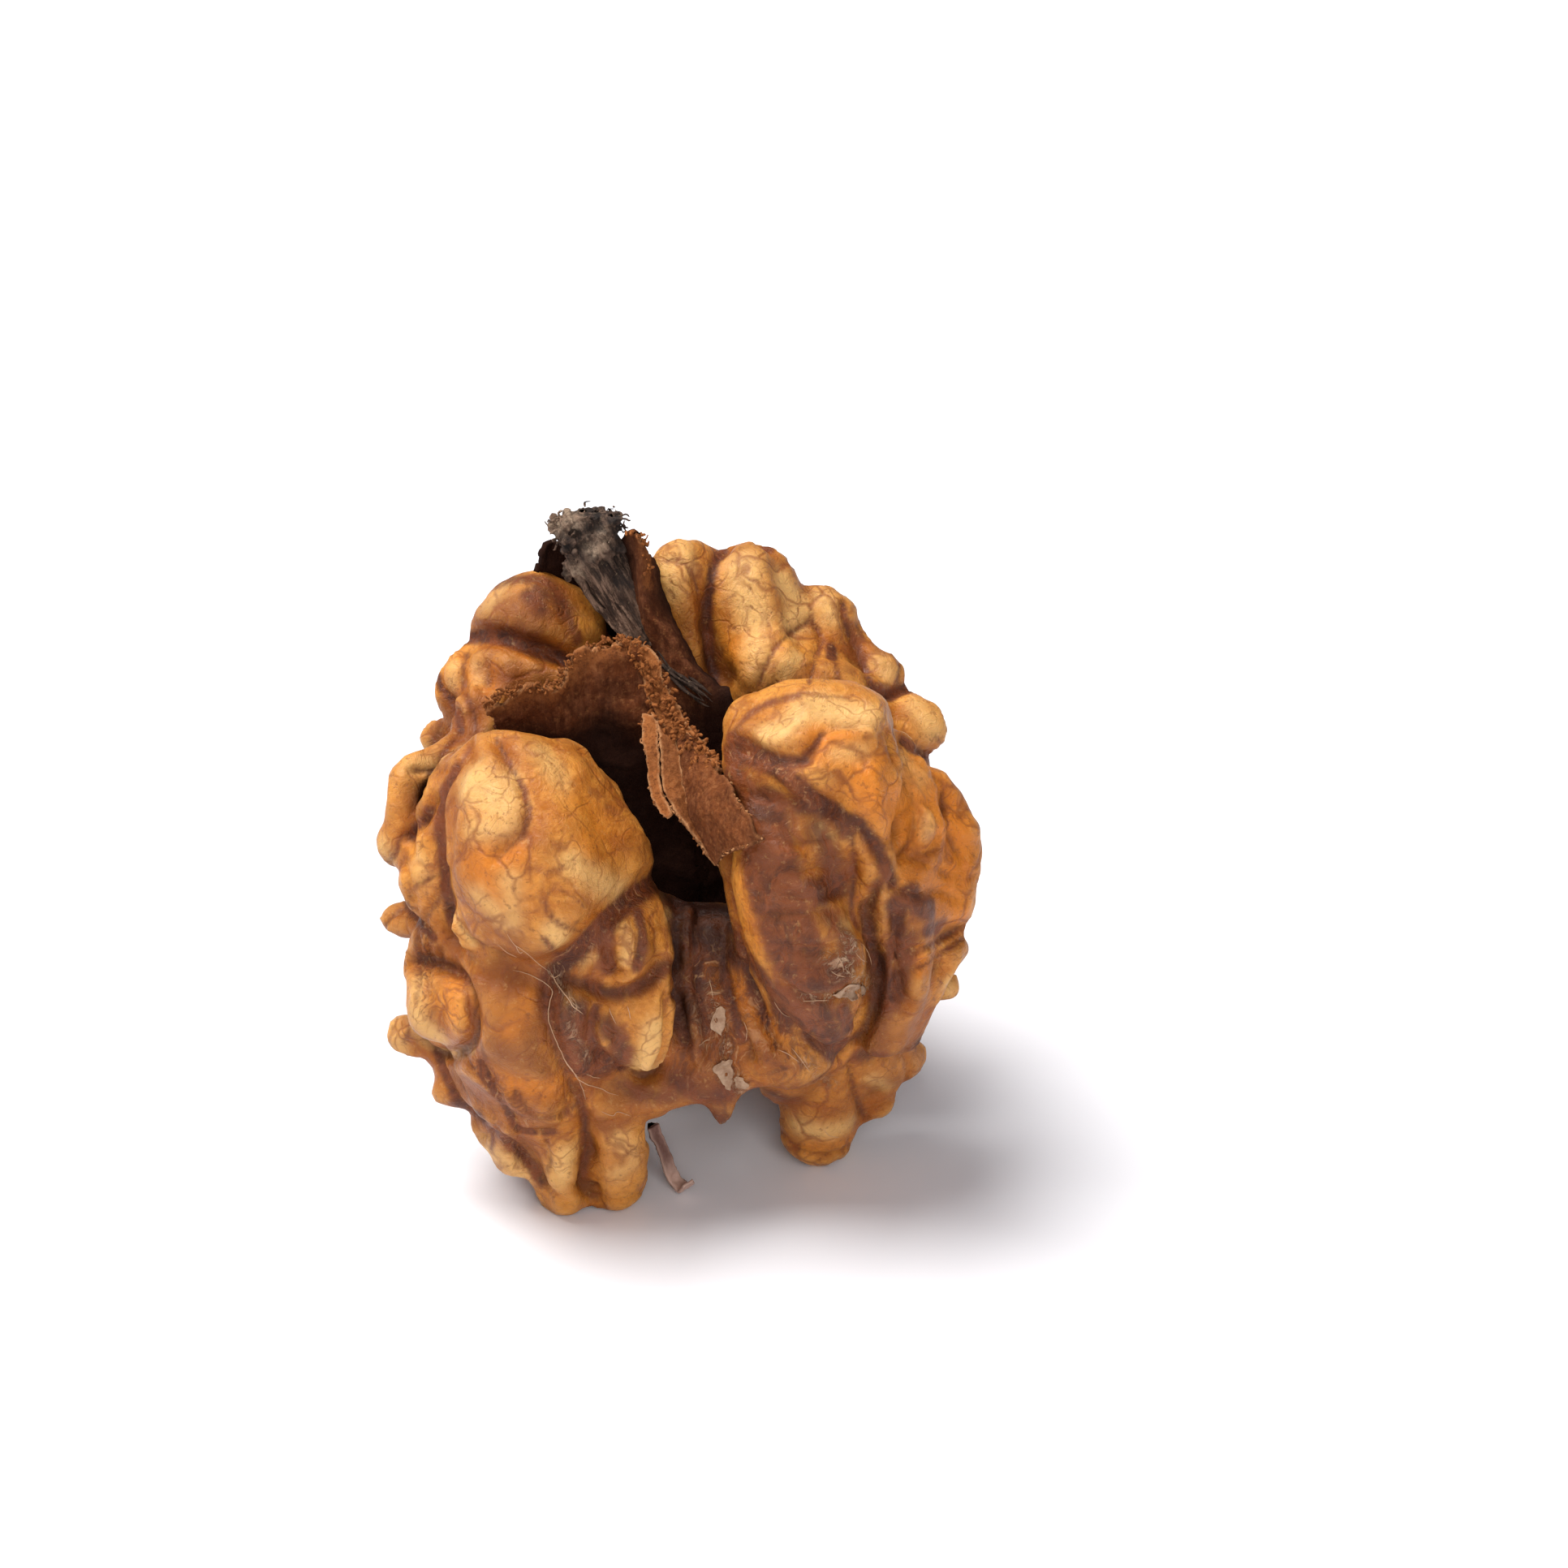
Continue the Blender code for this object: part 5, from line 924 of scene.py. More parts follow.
# Red brown, partly painted shade on the belly and the undersides
color = stain(skin, color, "russet", patch, RED_BROWN)
color = stain(skin, color, "amber", patch, ORANGE, 0.9)
color = stain(skin, color, "pale", patch, PALE_CREAM, 0.85, 0.7, 0.0, 1.1)
# Painted shade with the folds' own brown: the hollows are laid darker
color = glaze(skin, color, painted(skin, "hollow"), 0.1, 1.0, HOLLOW_BROWN, 0, 0.85)
# The colour of the dark places, partly painted shade
gloom = glaze(skin, PURPLE_BLACK, smudge, 0.4, 0.62, PURPLE_BROWN)
color = stain(skin, color, "dark", smudge, gloom, 0.95, 1.1, 0.15, 0.75)
color = tint(skin, veins, color, VEIN_BROWN)
for scale, low, strength in BRANCHES:
    branches = add(skin, "ShaderNodeTexNoise",
                   {"Vector": bent, "Scale": scale, "Detail": 3, "Roughness": 0.55},
                   noise_type="RIDGED_MULTIFRACTAL")
    color = glaze(skin, color, branches.outputs[0], low, low + 0.2, BRANCH_BROWN, 0, strength)
streaks = work_out(skin, "MULTIPLY", painted(skin, "fibre"), between(skin, fibre, 0.47, 0.6, 0, 0.7))
color = tint(skin, streaks, color, STREAK_BLACK)
glints = work_out(skin, "MULTIPLY", painted(skin, "fibre"), between(skin, fibre, 0.34, 0.43, 0.55, 0))
color = tint(skin, glints, color, GLINT_TAN)
color = glaze(skin, color, speck, 0.56, 0.68, SPECK_BROWN, 0, 0.5)
color = glaze(skin, color, speck, 0.30, 0.42, SPECK_CREAM, 0.22, 0)
frost = work_out(skin, "MULTIPLY", painted(skin, "frosted"), between(skin, crumbs, 0.48, 0.57, 0, 0.9))
color = tint(skin, frost, color, TORN_WHITE)
# The painted shade, laid last, near black in the recesses
color = glaze(skin, color, painted(skin, "painted_shade"), 0.0, 1.0, SHADE_BLACK, 0, 0.94)

# Its gloss, the little light that goes through it, and its bumps
skin.links.new(between(skin, patch, 0.3, 0.7, 0.3, 0.5), shader.inputs["Roughness"])
shader.inputs["Specular IOR Level"].default_value = 0.25
shader.inputs["Subsurface Weight"].default_value = 0.15
shader.inputs["Subsurface Radius"].default_value = (1.0, 0.4, 0.15)
shader.inputs["Subsurface Scale"].default_value = 0.0008
height = work_out(skin, "SUBTRACT", creping, work_out(skin, "MULTIPLY", veins, 0.3), False)
height = work_out(skin, "ADD", height, work_out(skin, "MULTIPLY", fibre, painted(skin, "fibre")), False)
height = work_out(skin, "ADD", height, frost, False)
dress(skin, shader, color, height, 0.7, 0.0003)

kernel = new_piece("walnut_kernel", points, quads, finish)
told = {"hollow": hollow, "crest": crest, "dark": dark, "pale": pale, "amber": amber, "russet": russet,
        "fibre": fibrous, "painted_shade": painted_shade, "frosted": frosted}
for name, values in told.items():
    paint(kernel, name, values)
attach(kernel, "root")
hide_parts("kernel")

# The partition
# The dry papery wall that stood between the two halves, torn when the shell was cracked.
# It is reddish brown and brittle, has a crumbly band along its torn edge, and sits in the cleft.
SHEET_GRID = 0.2                   # between the points of a sheet, in mm
SHEET_THICK = 0.3
SHEET_SUNK = 0.2                   # how far a sheet runs into the skin that it grew on
FLAP_GRID = 0.1
FLAP_THICK = 0.2
FLAP_CRUMPLE = 0.22
FLAP_CRUMBS = 0.07                 # how high the crumbs on the plates stand, in mm
CRUMPLES = [                       # shares of the crumple, and the lumps of each in a mm
    (1, 0.55), (0.4, 1.6), (0.16, 4.5),
]

# The sheets between the halves: rows of (across, rise, depth) from the top edge down, in mm
SHEETS = {
    "left sheet": [
        [(-10.82, 24.23, -1.9), (-9, 24.95, -2), (-6.82, 25.23, -1.6), (-6.09, 26.14, -1),
         (-5.36, 27.05, -0.5), (-4.23, 27.45, 0.2), (-3.18, 27.77, 0.4), (-2.27, 27.41, 0.3),
         (-1.59, 26.41, 0)],
        [(-10.73, 23.68, -1.8), (-8.86, 24.32, -1.7), (-6.73, 24.5, -1.4), (-5.95, 25.23, -1),
         (-5.18, 26.14, -0.6), (-4.09, 26.5, -0.2), (-3.09, 26.77, -0.1), (-2.18, 26.5, -0.2),
         (-1.45, 25.41, -0.5)],
        [(-10.55, 22.77, -1.6), (-8.64, 23.23, -1.2), (-6.64, 23.41, -1.1), (-5.73, 23.77, -0.9),
         (-4.82, 24.14, -0.7), (-3.77, 24.32, -0.6), (-2.82, 24.41, -0.6), (-1.91, 24.23, -0.7),
         (-1.05, 23.68, -1)],
        [(-10.27, 20.95, -1), (-8.45, 21.41, -0.7), (-6.55, 21.64, -0.7), (-5.55, 21.86, -0.6),
         (-4.55, 21.95, -0.5), (-3.55, 21.95, -0.5), (-2.55, 21.95, -0.5), (-1.55, 21.86, -0.5),
         (-0.36, 21.64, -0.6)],
        [(-10.27, 16, 0), (-8.45, 16.59, 0), (-6.55, 16.82, 0), (-5.55, 16.86, 0), (-4.55, 17, 0),
         (-3.55, 17, 0), (-2.41, 17, 0), (-1.05, 16.86, 0.1), (1, 16.41, 0.2)],
        [(-9.64, 11, 0), (-8.09, 10.59, 0), (-6.27, 10.23, 0), (-5.36, 10.09, 0), (-4.23, 10, 0),
         (-3.18, 10, 0.1), (-2.18, 10, 0.2), (-0.82, 10, 0.2), (1.45, 10.41, 0.2)],
    ],
    "back sheet": [
        [(-3.4, 33.2, 4.9), (-2.82, 33.95, 3.9), (-2.36, 33.68, 3.2), (-1.86, 32.95, 3.3),
         (-1.4, 32.3, 4.6)],
        [(-3.3, 32.5, 4.9), (-2.59, 32.95, 3.8), (-2.18, 32.59, 3.1), (-1.73, 32.05, 3.2),
         (-1.2, 31.6, 4.4)],
        [(-3.0, 31.3, 4.6), (-2.36, 31.64, 3.6), (-2.05, 31.32, 2.9), (-1.73, 30.95, 2.9),
         (-1.0, 30.5, 4.2)],
        [(-2.8, 29.9, 4.0), (-2.09, 30.05, 3), (-1.77, 29.82, 2.4), (-1.45, 29.5, 2.4),
         (-0.6, 29.1, 3.9)],
        [(-2.3, 28.7, 3.4), (-1.73, 28.77, 2.4), (-1.14, 28.59, 1.9), (-0.64, 28.14, 1.8),
         (0.2, 27.9, 3.2)],
        [(-1.8, 27.2, 2.6), (-1.18, 27.23, 1.8), (-0.45, 27.05, 1.4), (0.18, 26.59, 1.2),
         (1.0, 26.4, 2.2)],
        [(-1.2, 25.6, 1.6), (-0.45, 25.59, 1.2), (0.55, 25.59, 0.9), (1.55, 25.32, 0.7),
         (2.3, 25.1, 1.2)],
        [(-1.8, 24.2, 1.0), (-0.7, 24.23, 0.8), (1, 24.23, 0.5), (2.2, 24.4, 0.3), (3.2, 24.41, 0.2)],
        [(-1.9, 19.1, 0.8), (-0.8, 19.14, 0.6), (1, 19.14, 0.4), (2.3, 19.1, 0.2), (3.6, 19.14, 0.1)],
        [(-0.9, 13, 0.7), (0.2, 12.8, 0.6), (1.36, 12.5, 0.4), (2.4, 12.5, 0.2), (3.5, 12.5, 0.1)],
    ],
    "right sheet": [
        [(1, 23.09, 0.3), (4, 22.77, 0.1), (7, 22.41, 0), (10, 21, 0), (12.41, 18.59, 0)],
        [(1, 17, 0.3), (4, 17, 0.1), (7, 17, 0), (10, 16.59, 0), (12.41, 15, 0)],
        [(1, 10.59, 0.2), (4, 10.18, 0), (7, 10, 0), (9.59, 10.41, 0), (11.41, 11.41, 0)],
    ],
    "wrap": [
        [(-7.91, 32.23, 5), (-7.36, 33.14, 5.8), (-6.64, 33.41, 6.4), (-4.91, 32.77, 7), (-3, 32.95, 6.4),
         (-2.09, 33.59, 4.2)],
        [(-8.32, 31.5, 5.4), (-7.55, 31.86, 6), (-6.36, 31.68, 6.4), (-4.68, 31.32, 7), (-2.64, 31.32, 6.2),
         (-1.73, 31.86, 4)],
        [(-7.55, 29.14, 6.2), (-6.73, 29.05, 6.4), (-5.59, 28.91, 6.4), (-4, 28.77, 6.5), (-2.18, 28.77, 6),
         (-1.05, 28.91, 4.6)],
        [(-6.27, 25.05, 6), (-5.14, 25.05, 6), (-4, 25.05, 6), (-2.64, 25.05, 6), (-0.82, 25.05, 6),
         (1.91, 25.05, 5.4)],
        [(-6.27, 19.14, 5), (-5.14, 19.14, 5), (-3.55, 19.14, 5), (-1.73, 19.14, 5), (0.55, 19.14, 5),
         (3.27, 19.14, 5)],
    ],
}

# The broken plates that hang in front of them, in the same way
FLAP = {
    "split plate": [
        [(-1.86, 23.5, -2.6), (-1.5, 23.45, -2.8), (-1.14, 23.27, -3)],
        [(-1.95, 22.55, -3.9), (-1.5, 22.41, -4.1), (-1.05, 22.23, -4.3)],
        [(-1.86, 21.18, -5), (-1.45, 21.05, -5.3), (-1, 20.86, -5.5)],
        [(-1.73, 19.82, -6.1), (-1.32, 19.73, -6.3), (-0.91, 19.64, -6.5)],
        [(-1.36, 18.68, -7), (-1.05, 18.73, -7.1), (-0.68, 18.82, -7.3)],
        [(-0.86, 17.95, -7.5), (-0.59, 17.86, -7.6), (-0.32, 18.05, -7.7)],
    ],
    "inner plate": [
        [(-1.14, 23.23, -3.1), (-0.55, 22.91, -3.3), (0.09, 22.5, -3.6)],
        [(-0.95, 22.23, -4.4), (-0.36, 21.86, -4.6), (0.23, 21.5, -4.9)],
        [(-0.91, 20.86, -5.7), (-0.32, 20.68, -5.8), (0.32, 20.41, -5.9)],
        [(-0.77, 19.59, -6.8), (-0.18, 19.45, -6.9), (0.45, 19.23, -6.8)],
        [(-0.45, 18.59, -7.5), (0.09, 18.5, -7.5), (0.59, 18.18, -7.4)],
        [(0.09, 17.86, -8), (0.55, 17.64, -8), (0.95, 17.32, -7.9)],
        [(0.73, 17, -8.4), (1.18, 16.68, -8.4), (1.59, 16.32, -8.4)],
        [(1.36, 16.23, -8.7), (1.73, 15.86, -8.8), (2.14, 15.41, -8.8)],
    ],
    "outer plate": [
        [(0, 22.64, -3.6), (0.55, 22.32, -4.4), (1, 21.86, -5)],
        [(0.18, 21.59, -4.9), (1, 21.36, -6), (2, 20.82, -7.2)],
        [(0.27, 20.5, -5.9), (1.36, 20.5, -7.3), (2.77, 19.95, -8.8)],
        [(0.41, 19.32, -6.8), (1.73, 19.45, -8.5), (3.36, 19.05, -10.3)],
        [(0.55, 18.23, -7.4), (2.09, 18.32, -9.5), (3.86, 18.05, -11.6)],
        [(0.91, 17.32, -7.9), (2.45, 17.36, -10.1), (4.23, 17.05, -12.4)],
        [(1.55, 16.32, -8.4), (2.68, 16.45, -10.4), (4.64, 16.82, -12.7)],
        [(2.14, 15.41, -8.8), (2.5, 15.86, -10.2), (3.36, 16.32, -11.6)],
    ],
}
BAND = [                           # the crumbly torn band: across, rise, depth, half width
    (-3.32, 27.68, 0.3, 0.25), (-2.41, 27.32, 0.2, 0.35), (-1.73, 26.5, -0.4, 0.5),
    (-1.23, 25.27, -1.2, 0.55), (-0.82, 24.23, -2.0, 0.6), (-0.36, 23.23, -3.0, 0.65),
    (0.32, 22.23, -4.2, 0.6), (1.09, 21.41, -5.4, 0.55), (1.82, 20.86, -6.6, 0.45), (2.14, 20.64, -7.2, 0.2),
]
RIM = [                            # the torn top edge of the left sheet
    (-10.82, 24.23, -1.9), (-9.0, 24.95, -2.0), (-6.82, 25.23, -1.6), (-6.09, 26.14, -1.0),
    (-5.36, 27.05, -0.5), (-4.23, 27.45, 0.2), (-3.18, 27.77, 0.4),
]
LIP = [                            # the torn top edge of the back sheet
    (-2.9, 33.9, 3.6), (-2.3, 33.7, 3.0), (-1.9, 33.0, 3.2), (-1.75, 32.0, 3.1), (-1.8, 30.9, 2.8),
]
BAND_STRANDS = 520                 # torn strings along the band, the rim and the lip
RIM_STRANDS = 170
LIP_STRANDS = 45
PLATE_STRANDS = 170                # and along the edges of the plates
TEAR_SEED = 5
LIGHTNESS = {                      # how pale each plate is
    "split plate": 0.9, "inner plate": 0.6, "outer plate": 0.3, "torn band": 0.85,
}
RIM_FADE = 1.1                     # how far down the pale torn edges fade out, in mm
LIP_FADE = 0.45
LIP_DARKER = 2.4                   # how much nearer the dark begins below the lip, in mm


def even_line(points, count):
    """The same number of evenly spaced spots along a curve through points."""
    line = smooth_line([tuple(p) for p in points], 0.05)[:, :3]
    run = np.concatenate([[0], np.cumsum(np.linalg.norm(np.diff(line, axis=0), axis=1))])
    at = np.linspace(0, run[-1], count)
    return np.column_stack([np.interp(at, run, line[:, k]) for k in range(3)])


def sheet_points(rows, spacing, crumple):
    """A crumpled sheet through rows of seen spots, as a grid of points in mm."""
    rows = [[stand(*spot) for spot in row] for row in rows]
    widest = max(sum(math.dist(a, b) for a, b in zip(row, row[1:])) for row in rows)
    lines = [even_line(row, max(3, round(widest / spacing))) for row in rows]
    drops = [sum(math.dist(line[k], below[k]) for line, below in zip(lines, lines[1:]))
             for k in range(len(lines[0]))]
    grid = np.array([even_line([line[k] for line in lines], max(3, round(max(drops) / spacing)))
                     for k in range(len(lines[0]))])
    for spot in grid.reshape(-1, 3):
        for share, lumps in CRUMPLES:
            spot += share * crumple * np.array(noise.noise_vector(Vector(spot) * lumps))
    return grid


def slab(grid, keep, thick):
    """A sheet, thick mm through, from the kept spots of its grid, as points, quads and its border's spots."""
    wide, tall = keep.shape
    out = np.cross(np.gradient(grid, axis=0), np.gradient(grid, axis=1))
    out /= np.maximum(1e-9, np.linalg.norm(out, axis=2))[:, :, None]
    number = np.arange(wide * tall).reshape(wide, tall)
    whole = keep[:-1, :-1] & keep[1:, :-1] & keep[1:, 1:] & keep[:-1, 1:]
    front = np.stack([number[:-1, :-1], number[1:, :-1], number[1:, 1:], number[:-1, 1:]], axis=-1)[whole]
    ends = np.concatenate([front[:, [k, (k + 1) % 4]] for k in range(4)])
    _, first, uses = np.unique(np.sort(ends, axis=1), axis=0, return_index=True, return_counts=True)
    rim = ends[first[uses == 1]]
    far = wide * tall
    walls = np.column_stack([rim[:, 1], rim[:, 0], rim[:, 0] + far, rim[:, 1] + far])
    spots, flat = grid.reshape(-1, 3), out.reshape(-1, 3)
    grains = [0.05 * bumps(spots + shift, 0.45) for shift in (0, 7)]
    above = spots + flat * (thick / 2 + grains[0])[:, None]
    below = spots - flat * (thick / 2 + grains[1])[:, None]
    points = np.vstack([above, below])
    faces = np.vstack([front, front[:, ::-1] + far, walls])
    used, faces = np.unique(faces, return_inverse=True)
    return points[used], faces.reshape(-1, 4), spots[np.unique(rim)]


def left_standing(grid, spacing, tear):
    """Which spots of a sheet's grid are outside the seed's skin and inside its torn border."""
    wide, tall = grid.shape[:2]
    keep = np.zeros((wide, tall), bool)
    for i in range(wide):
        for j in range(tall):
            spot = Vector(grid[i, j])
            border = spacing * min(i, j, wide - 1 - i, tall - 1 - j)
            if border < tear * (0.4 + noise.noise(spot * 0.9) + 0.5 * noise.noise(spot * 2.7)):
                continue
            seat, normal, _, away = skin_tree.find_nearest(spot)
            keep[i, j] = away < SHEET_SUNK or (spot - seat).dot(normal) > 0
    return keep


def strand(line, radius, sides=5):
    """A string along a line of points, thinner at both ends, as points and quads."""
    line = np.asarray(line, float)
    along = np.gradient(line, axis=0)
    side = np.cross(along, (0.31, 0.52, 0.79))
    side /= np.maximum(1e-9, np.linalg.norm(side, axis=1))[:, None]
    other = np.cross(along, side)
    other /= np.maximum(1e-9, np.linalg.norm(other, axis=1))[:, None]
    part = np.linspace(-1, 1, len(line))
    thick = radius * (1 - 0.85 * np.abs(part)**5)
    turn = 2 * math.pi * np.arange(sides) / sides
    ring = np.cos(turn)[None, :, None] * side[:, None] + np.sin(turn)[None, :, None] * other[:, None]
    points = (line[:, None] + thick[:, None, None] * ring).reshape(-1, 3)
    number = np.arange(len(points)).reshape(len(line), sides)
    after = np.roll(number, -1, axis=1)
    quads = np.stack([number[:-1], after[:-1], after[1:], number[1:]], axis=-1).reshape(-1, 4)
    return points, quads


def wandering(start, way, length, curl, rng):
    """A line of spots from start along way that bends at random."""
    spots = [np.array(start, float)]
    way = np.array(way, float)
    bends = 5
    for _ in range(bends):
        way = way / np.linalg.norm(way) + curl * rng.normal(size=3)
        spots.append(spots[-1] + way * length / bends / np.linalg.norm(way))
    return smooth_line(spots, 0.09)


def frayed(line, widths, count, length, radius, rng):
    """Short torn strings at random along a line of points, each as points and quads."""
    strings = []
    for _ in range(count):
        k = rng.integers(1, len(line) - 1)
        along = line[k + 1] - line[k - 1]
        along /= np.linalg.norm(along)
        aside = rng.normal(size=3)
        aside -= aside.dot(along) * along
        aside /= np.linalg.norm(aside)
        start = line[k] + aside * widths[k] * rng.uniform(0.1, 1.0)
        way = along * rng.uniform(-1, 1) + 0.9 * aside + 0.5 * rng.normal(size=3)
        spots = wandering(start, way, length * rng.uniform(0.5, 1.3), 0.4, rng)
        strings.append(strand(spots, radius * rng.uniform(0.6, 1.6)))
    return strings


def gathered(parts):
    """Several (points, quads) as one, with the number of the part that each point is of."""
    points, quads, owner, start = [], [], [], 0
    for k, (spots, faces) in enumerate(parts):
        points.append(spots)
        quads.append(faces + start)
        owner.append(np.full(len(spots), k))
        start += len(spots)
    return np.vstack(points), np.vstack(quads), np.concatenate(owner)


def nearest_of(spots, points):
    """Distance of each point from the nearest of the spots."""
    seats = KDTree(len(spots))
    for k, spot in enumerate(spots):
        seats.insert(spot, k)
    seats.balance()
    return np.array([seats.find(p)[2] for p in points])


# The sheets and the plates, the band among them
FLAP["torn band"] = [[(x - 0.9 * w, y - 0.4 * w, d), (x, y, d - 0.15), (x + 0.9 * w, y + 0.4 * w, d)]
                     for x, y, d, w in BAND]
parts, borders, lightness = [], [], []
for name, rows in SHEETS.items():
    crumple, tear = (0.25, 0.12) if name == "back sheet" else (0.5, 0.35)
    grid = sheet_points(rows, SHEET_GRID, crumple)
    spots, faces, border = slab(grid, left_standing(grid, SHEET_GRID, tear), SHEET_THICK)
    parts.append((spots, faces))
    borders.append(border)
    lightness.append(0)
for name, rows in FLAP.items():
    grid = sheet_points(rows, FLAP_GRID, FLAP_CRUMPLE)
    spots, faces, border = slab(grid, np.ones(grid.shape[:2], bool), FLAP_THICK)
    spots += (FLAP_CRUMBS * bumps(spots, 0.28, 3))[:, None] * SIGHT
    parts.append((spots, faces))
    borders.append(border)
    lightness.append(LIGHTNESS[name])

# The torn strings along its edges: where, how far off, how many, their length, radius and lightness
rng = np.random.default_rng(TEAR_SEED)
band = smooth_line([(*stand(*spot[:3]), spot[3]) for spot in BAND], 0.1)
rim_line = smooth_line([stand(*spot) for spot in RIM], 0.1)
lip_line = smooth_line([stand(*spot) for spot in LIP], 0.1)
for line, widths, count, length, radius, light in (
    (band[:, :3], 1.25 * band[:, 3], BAND_STRANDS, 0.5, 0.085, 0.95),
    (rim_line, np.full(len(rim_line), 0.2), RIM_STRANDS, 0.4, 0.08, 0.7),
    (lip_line, np.full(len(lip_line), 0.15), LIP_STRANDS, 0.4, 0.07, 0.9),
):
    strings = frayed(line, widths, count, length, radius, rng)
    parts += strings
    lightness += [light] * len(strings)
plate_edges = np.vstack(borders[len(SHEETS):])
for spot in plate_edges[rng.integers(0, len(plate_edges), PLATE_STRANDS)]:
    way = rng.normal(size=3)
    parts.append(strand(wandering(spot, way, rng.uniform(0.15, 0.4), 0.6, rng), rng.uniform(0.03, 0.08)))
    lightness.append(rng.uniform(0.5, 1.0))
points, quads, owner = gathered(parts)
low, high = (np.array(corner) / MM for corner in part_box("septum"))
points = np.clip(points, low - 0.15, high + 0.15)

# What its finish is told: how pale each spot is, how far from a torn edge, and how deep in the cleft, for the
# painted shade there
from_lip = nearest_of(lip_line, points)
torn = np.exp(-(nearest_of(rim_line, points) / RIM_FADE)**2)
torn = np.maximum(torn, np.exp(-(from_lip / LIP_FADE)**2))
part_light = np.array(lightness)[owner]
light = np.maximum(part_light, 0.75 * torn)
from_edge = np.clip(nearest_of(np.vstack(borders), points), 0, 2)
# How far below the torn edges a spot lies, for the painted shade deep in the cleft
down = np.minimum(nearest_of(np.vstack([rim_line, band[:, :3]]), points), from_lip + LIP_DARKER)
deep = step_up(down, 1.3, 4.8) * (part_light == 0)

# Its finish: brown paper with fibres along it, paler where it is torn, with painted shade that turns it near
# black down in the cleft
PAPER_DARK = (0.080, 0.021, 0.007, 1)
PAPER_BROWN = (0.15, 0.041, 0.013, 1)
PAPER_FIBRE = (0.24, 0.085, 0.036, 1)
PAPER_TORN = (0.36, 0.122, 0.034, 1)
PAPER_SPECK = (0.085, 0.025, 0.011, 1)
PAPER_GLINT = (0.46, 0.20, 0.075, 1)
PAPER_CLEFT_SHADE = (0.017, 0.006, 0.004, 1)
PAPER_EDGE = (0.55, 0.27, 0.12, 1)
finish, paper, shader, place = new_finish("papery partition")
grain = cloud(paper, place, 3200, 5, 0.75)
patch = cloud(paper, place, 480, 5, 0.65, 0.5)
lengthwise = add(paper, "ShaderNodeMapping",
                 {"Vector": place, "Scale": (1, 1, 0.16), "Rotation": (0.4, 0.35, 0)}).outputs[0]
fibre = cloud(paper, lengthwise, 2600, 4, 0.65)
color = glaze(paper, PAPER_DARK, patch, 0.35, 0.65, PAPER_BROWN)
color = glaze(paper, color, fibre, 0.42, 0.68, PAPER_FIBRE, 0, 0.6)
glow = work_out(paper, "MULTIPLY", painted(paper, "light"), between(paper, patch, 0.3, 0.7, 0.7, 1.15))
color = glaze(paper, color, glow, 0.0, 1.0, PAPER_TORN, 0, 0.95)
color = glaze(paper, color, grain, 0.5, 0.64, PAPER_SPECK, 0, 0.6)
color = glaze(paper, color, grain, 0.34, 0.48, PAPER_GLINT, 0.3, 0)
# Painted shade: near black deep in the cleft
color = glaze(paper, color, painted(paper, "deep"), 0.0, 1.0, PAPER_CLEFT_SHADE, 0, 0.93)
pale_rim = work_out(paper, "MULTIPLY", between(paper, painted(paper, "rim"), 0.04, 0.2, 1, 0),
                    between(paper, painted(paper, "light"), 0.2, 0.6))
color = tint(paper, pale_rim, color, PAPER_EDGE)
shader.inputs["Roughness"].default_value = 0.85
shader.inputs["Specular IOR Level"].default_value = 0.1
rough = work_out(paper, "MULTIPLY", grain, 0.7)
height = work_out(paper, "ADD", rough, work_out(paper, "MULTIPLY", fibre, 0.5), False)
dress(paper, shader, color, height, 1.0, 0.0003)
septum = new_piece("papery_partition", points, quads, finish)
for name, values in (("light", light), ("rim", from_edge), ("deep", deep)):
    paint(septum, name, values)
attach(septum, "root")
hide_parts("septum")

# The stalk
# The dried strand that fed the seed: a bundle of woody strings, split lengthwise, that thins out
# into the cleft, with a crumbly grey head where it joined the shell.
STALK = [                          # (across, rise, depth, radius) from the head down
    (-5.0, 33.14, 4.8, 1.75), (-4.23, 31.86, 4.6, 1.68), (-3.3, 30.41, 4.0, 1.5), (-2.6, 29.05, 3.3, 1.38),
    (-2.1, 27.95, 2.7, 1.15),
]
TAIL = [                           # the thin strings that go on from it
    (-2.6, 28.6, 3.2), (-1.5, 27.2, 2.2), (-0.4, 25.9, 1.0), (0.9, 24.9, -0.2), (1.9, 24.1, -0.9),
]
STALK_TURN = (0.41, 0.51, 0)       # lays the stalk along the grain of its finish
STALK_CORE = 0.74                  # the core's radius as a share of the stalk's
STALK_RIDGES = 38                  # strings laid round the core
STALK_TAILS = 16
STALK_GRAIN = 0.085                # the mesh width of the strand, in mm
HEAD_KNOBS = [                     # clumps of the head: across, rise, depth, radius, how many crumbs
    (-6.3, 33.9, 4.6, 0.95, 26), (-5.2, 34.3, 4.7, 1.15, 26), (-4.0, 34.2, 4.6, 1.0, 24),
    (-5.6, 33.0, 4.4, 1.0, 20), (-4.2, 33.0, 4.3, 1.1, 22), (-5.9, 31.9, 4.5, 0.75, 12),
]
HEAD_FIBRES = 80                   # short strings that stand off the head
STALK_SEED = 7

# Pale and black places of the head, as (across, rise)
PALE_SPOTS = [(-6.4, 34.9), (-5.9, 34.4), (-6.9, 34.0), (-4.7, 32.8), (-4.3, 33.3), (-5.7, 31.6)]
BLACK_SPOTS = [(-3.6, 34.3), (-3.2, 33.6), (-3.3, 32.8), (-5.3, 33.7), (-3.9, 31.9), (-4.6, 34.7),
               (-5.0, 32.5), (-6.2, 33.0), (-4.4, 33.9), (-3.2, 31.2)]


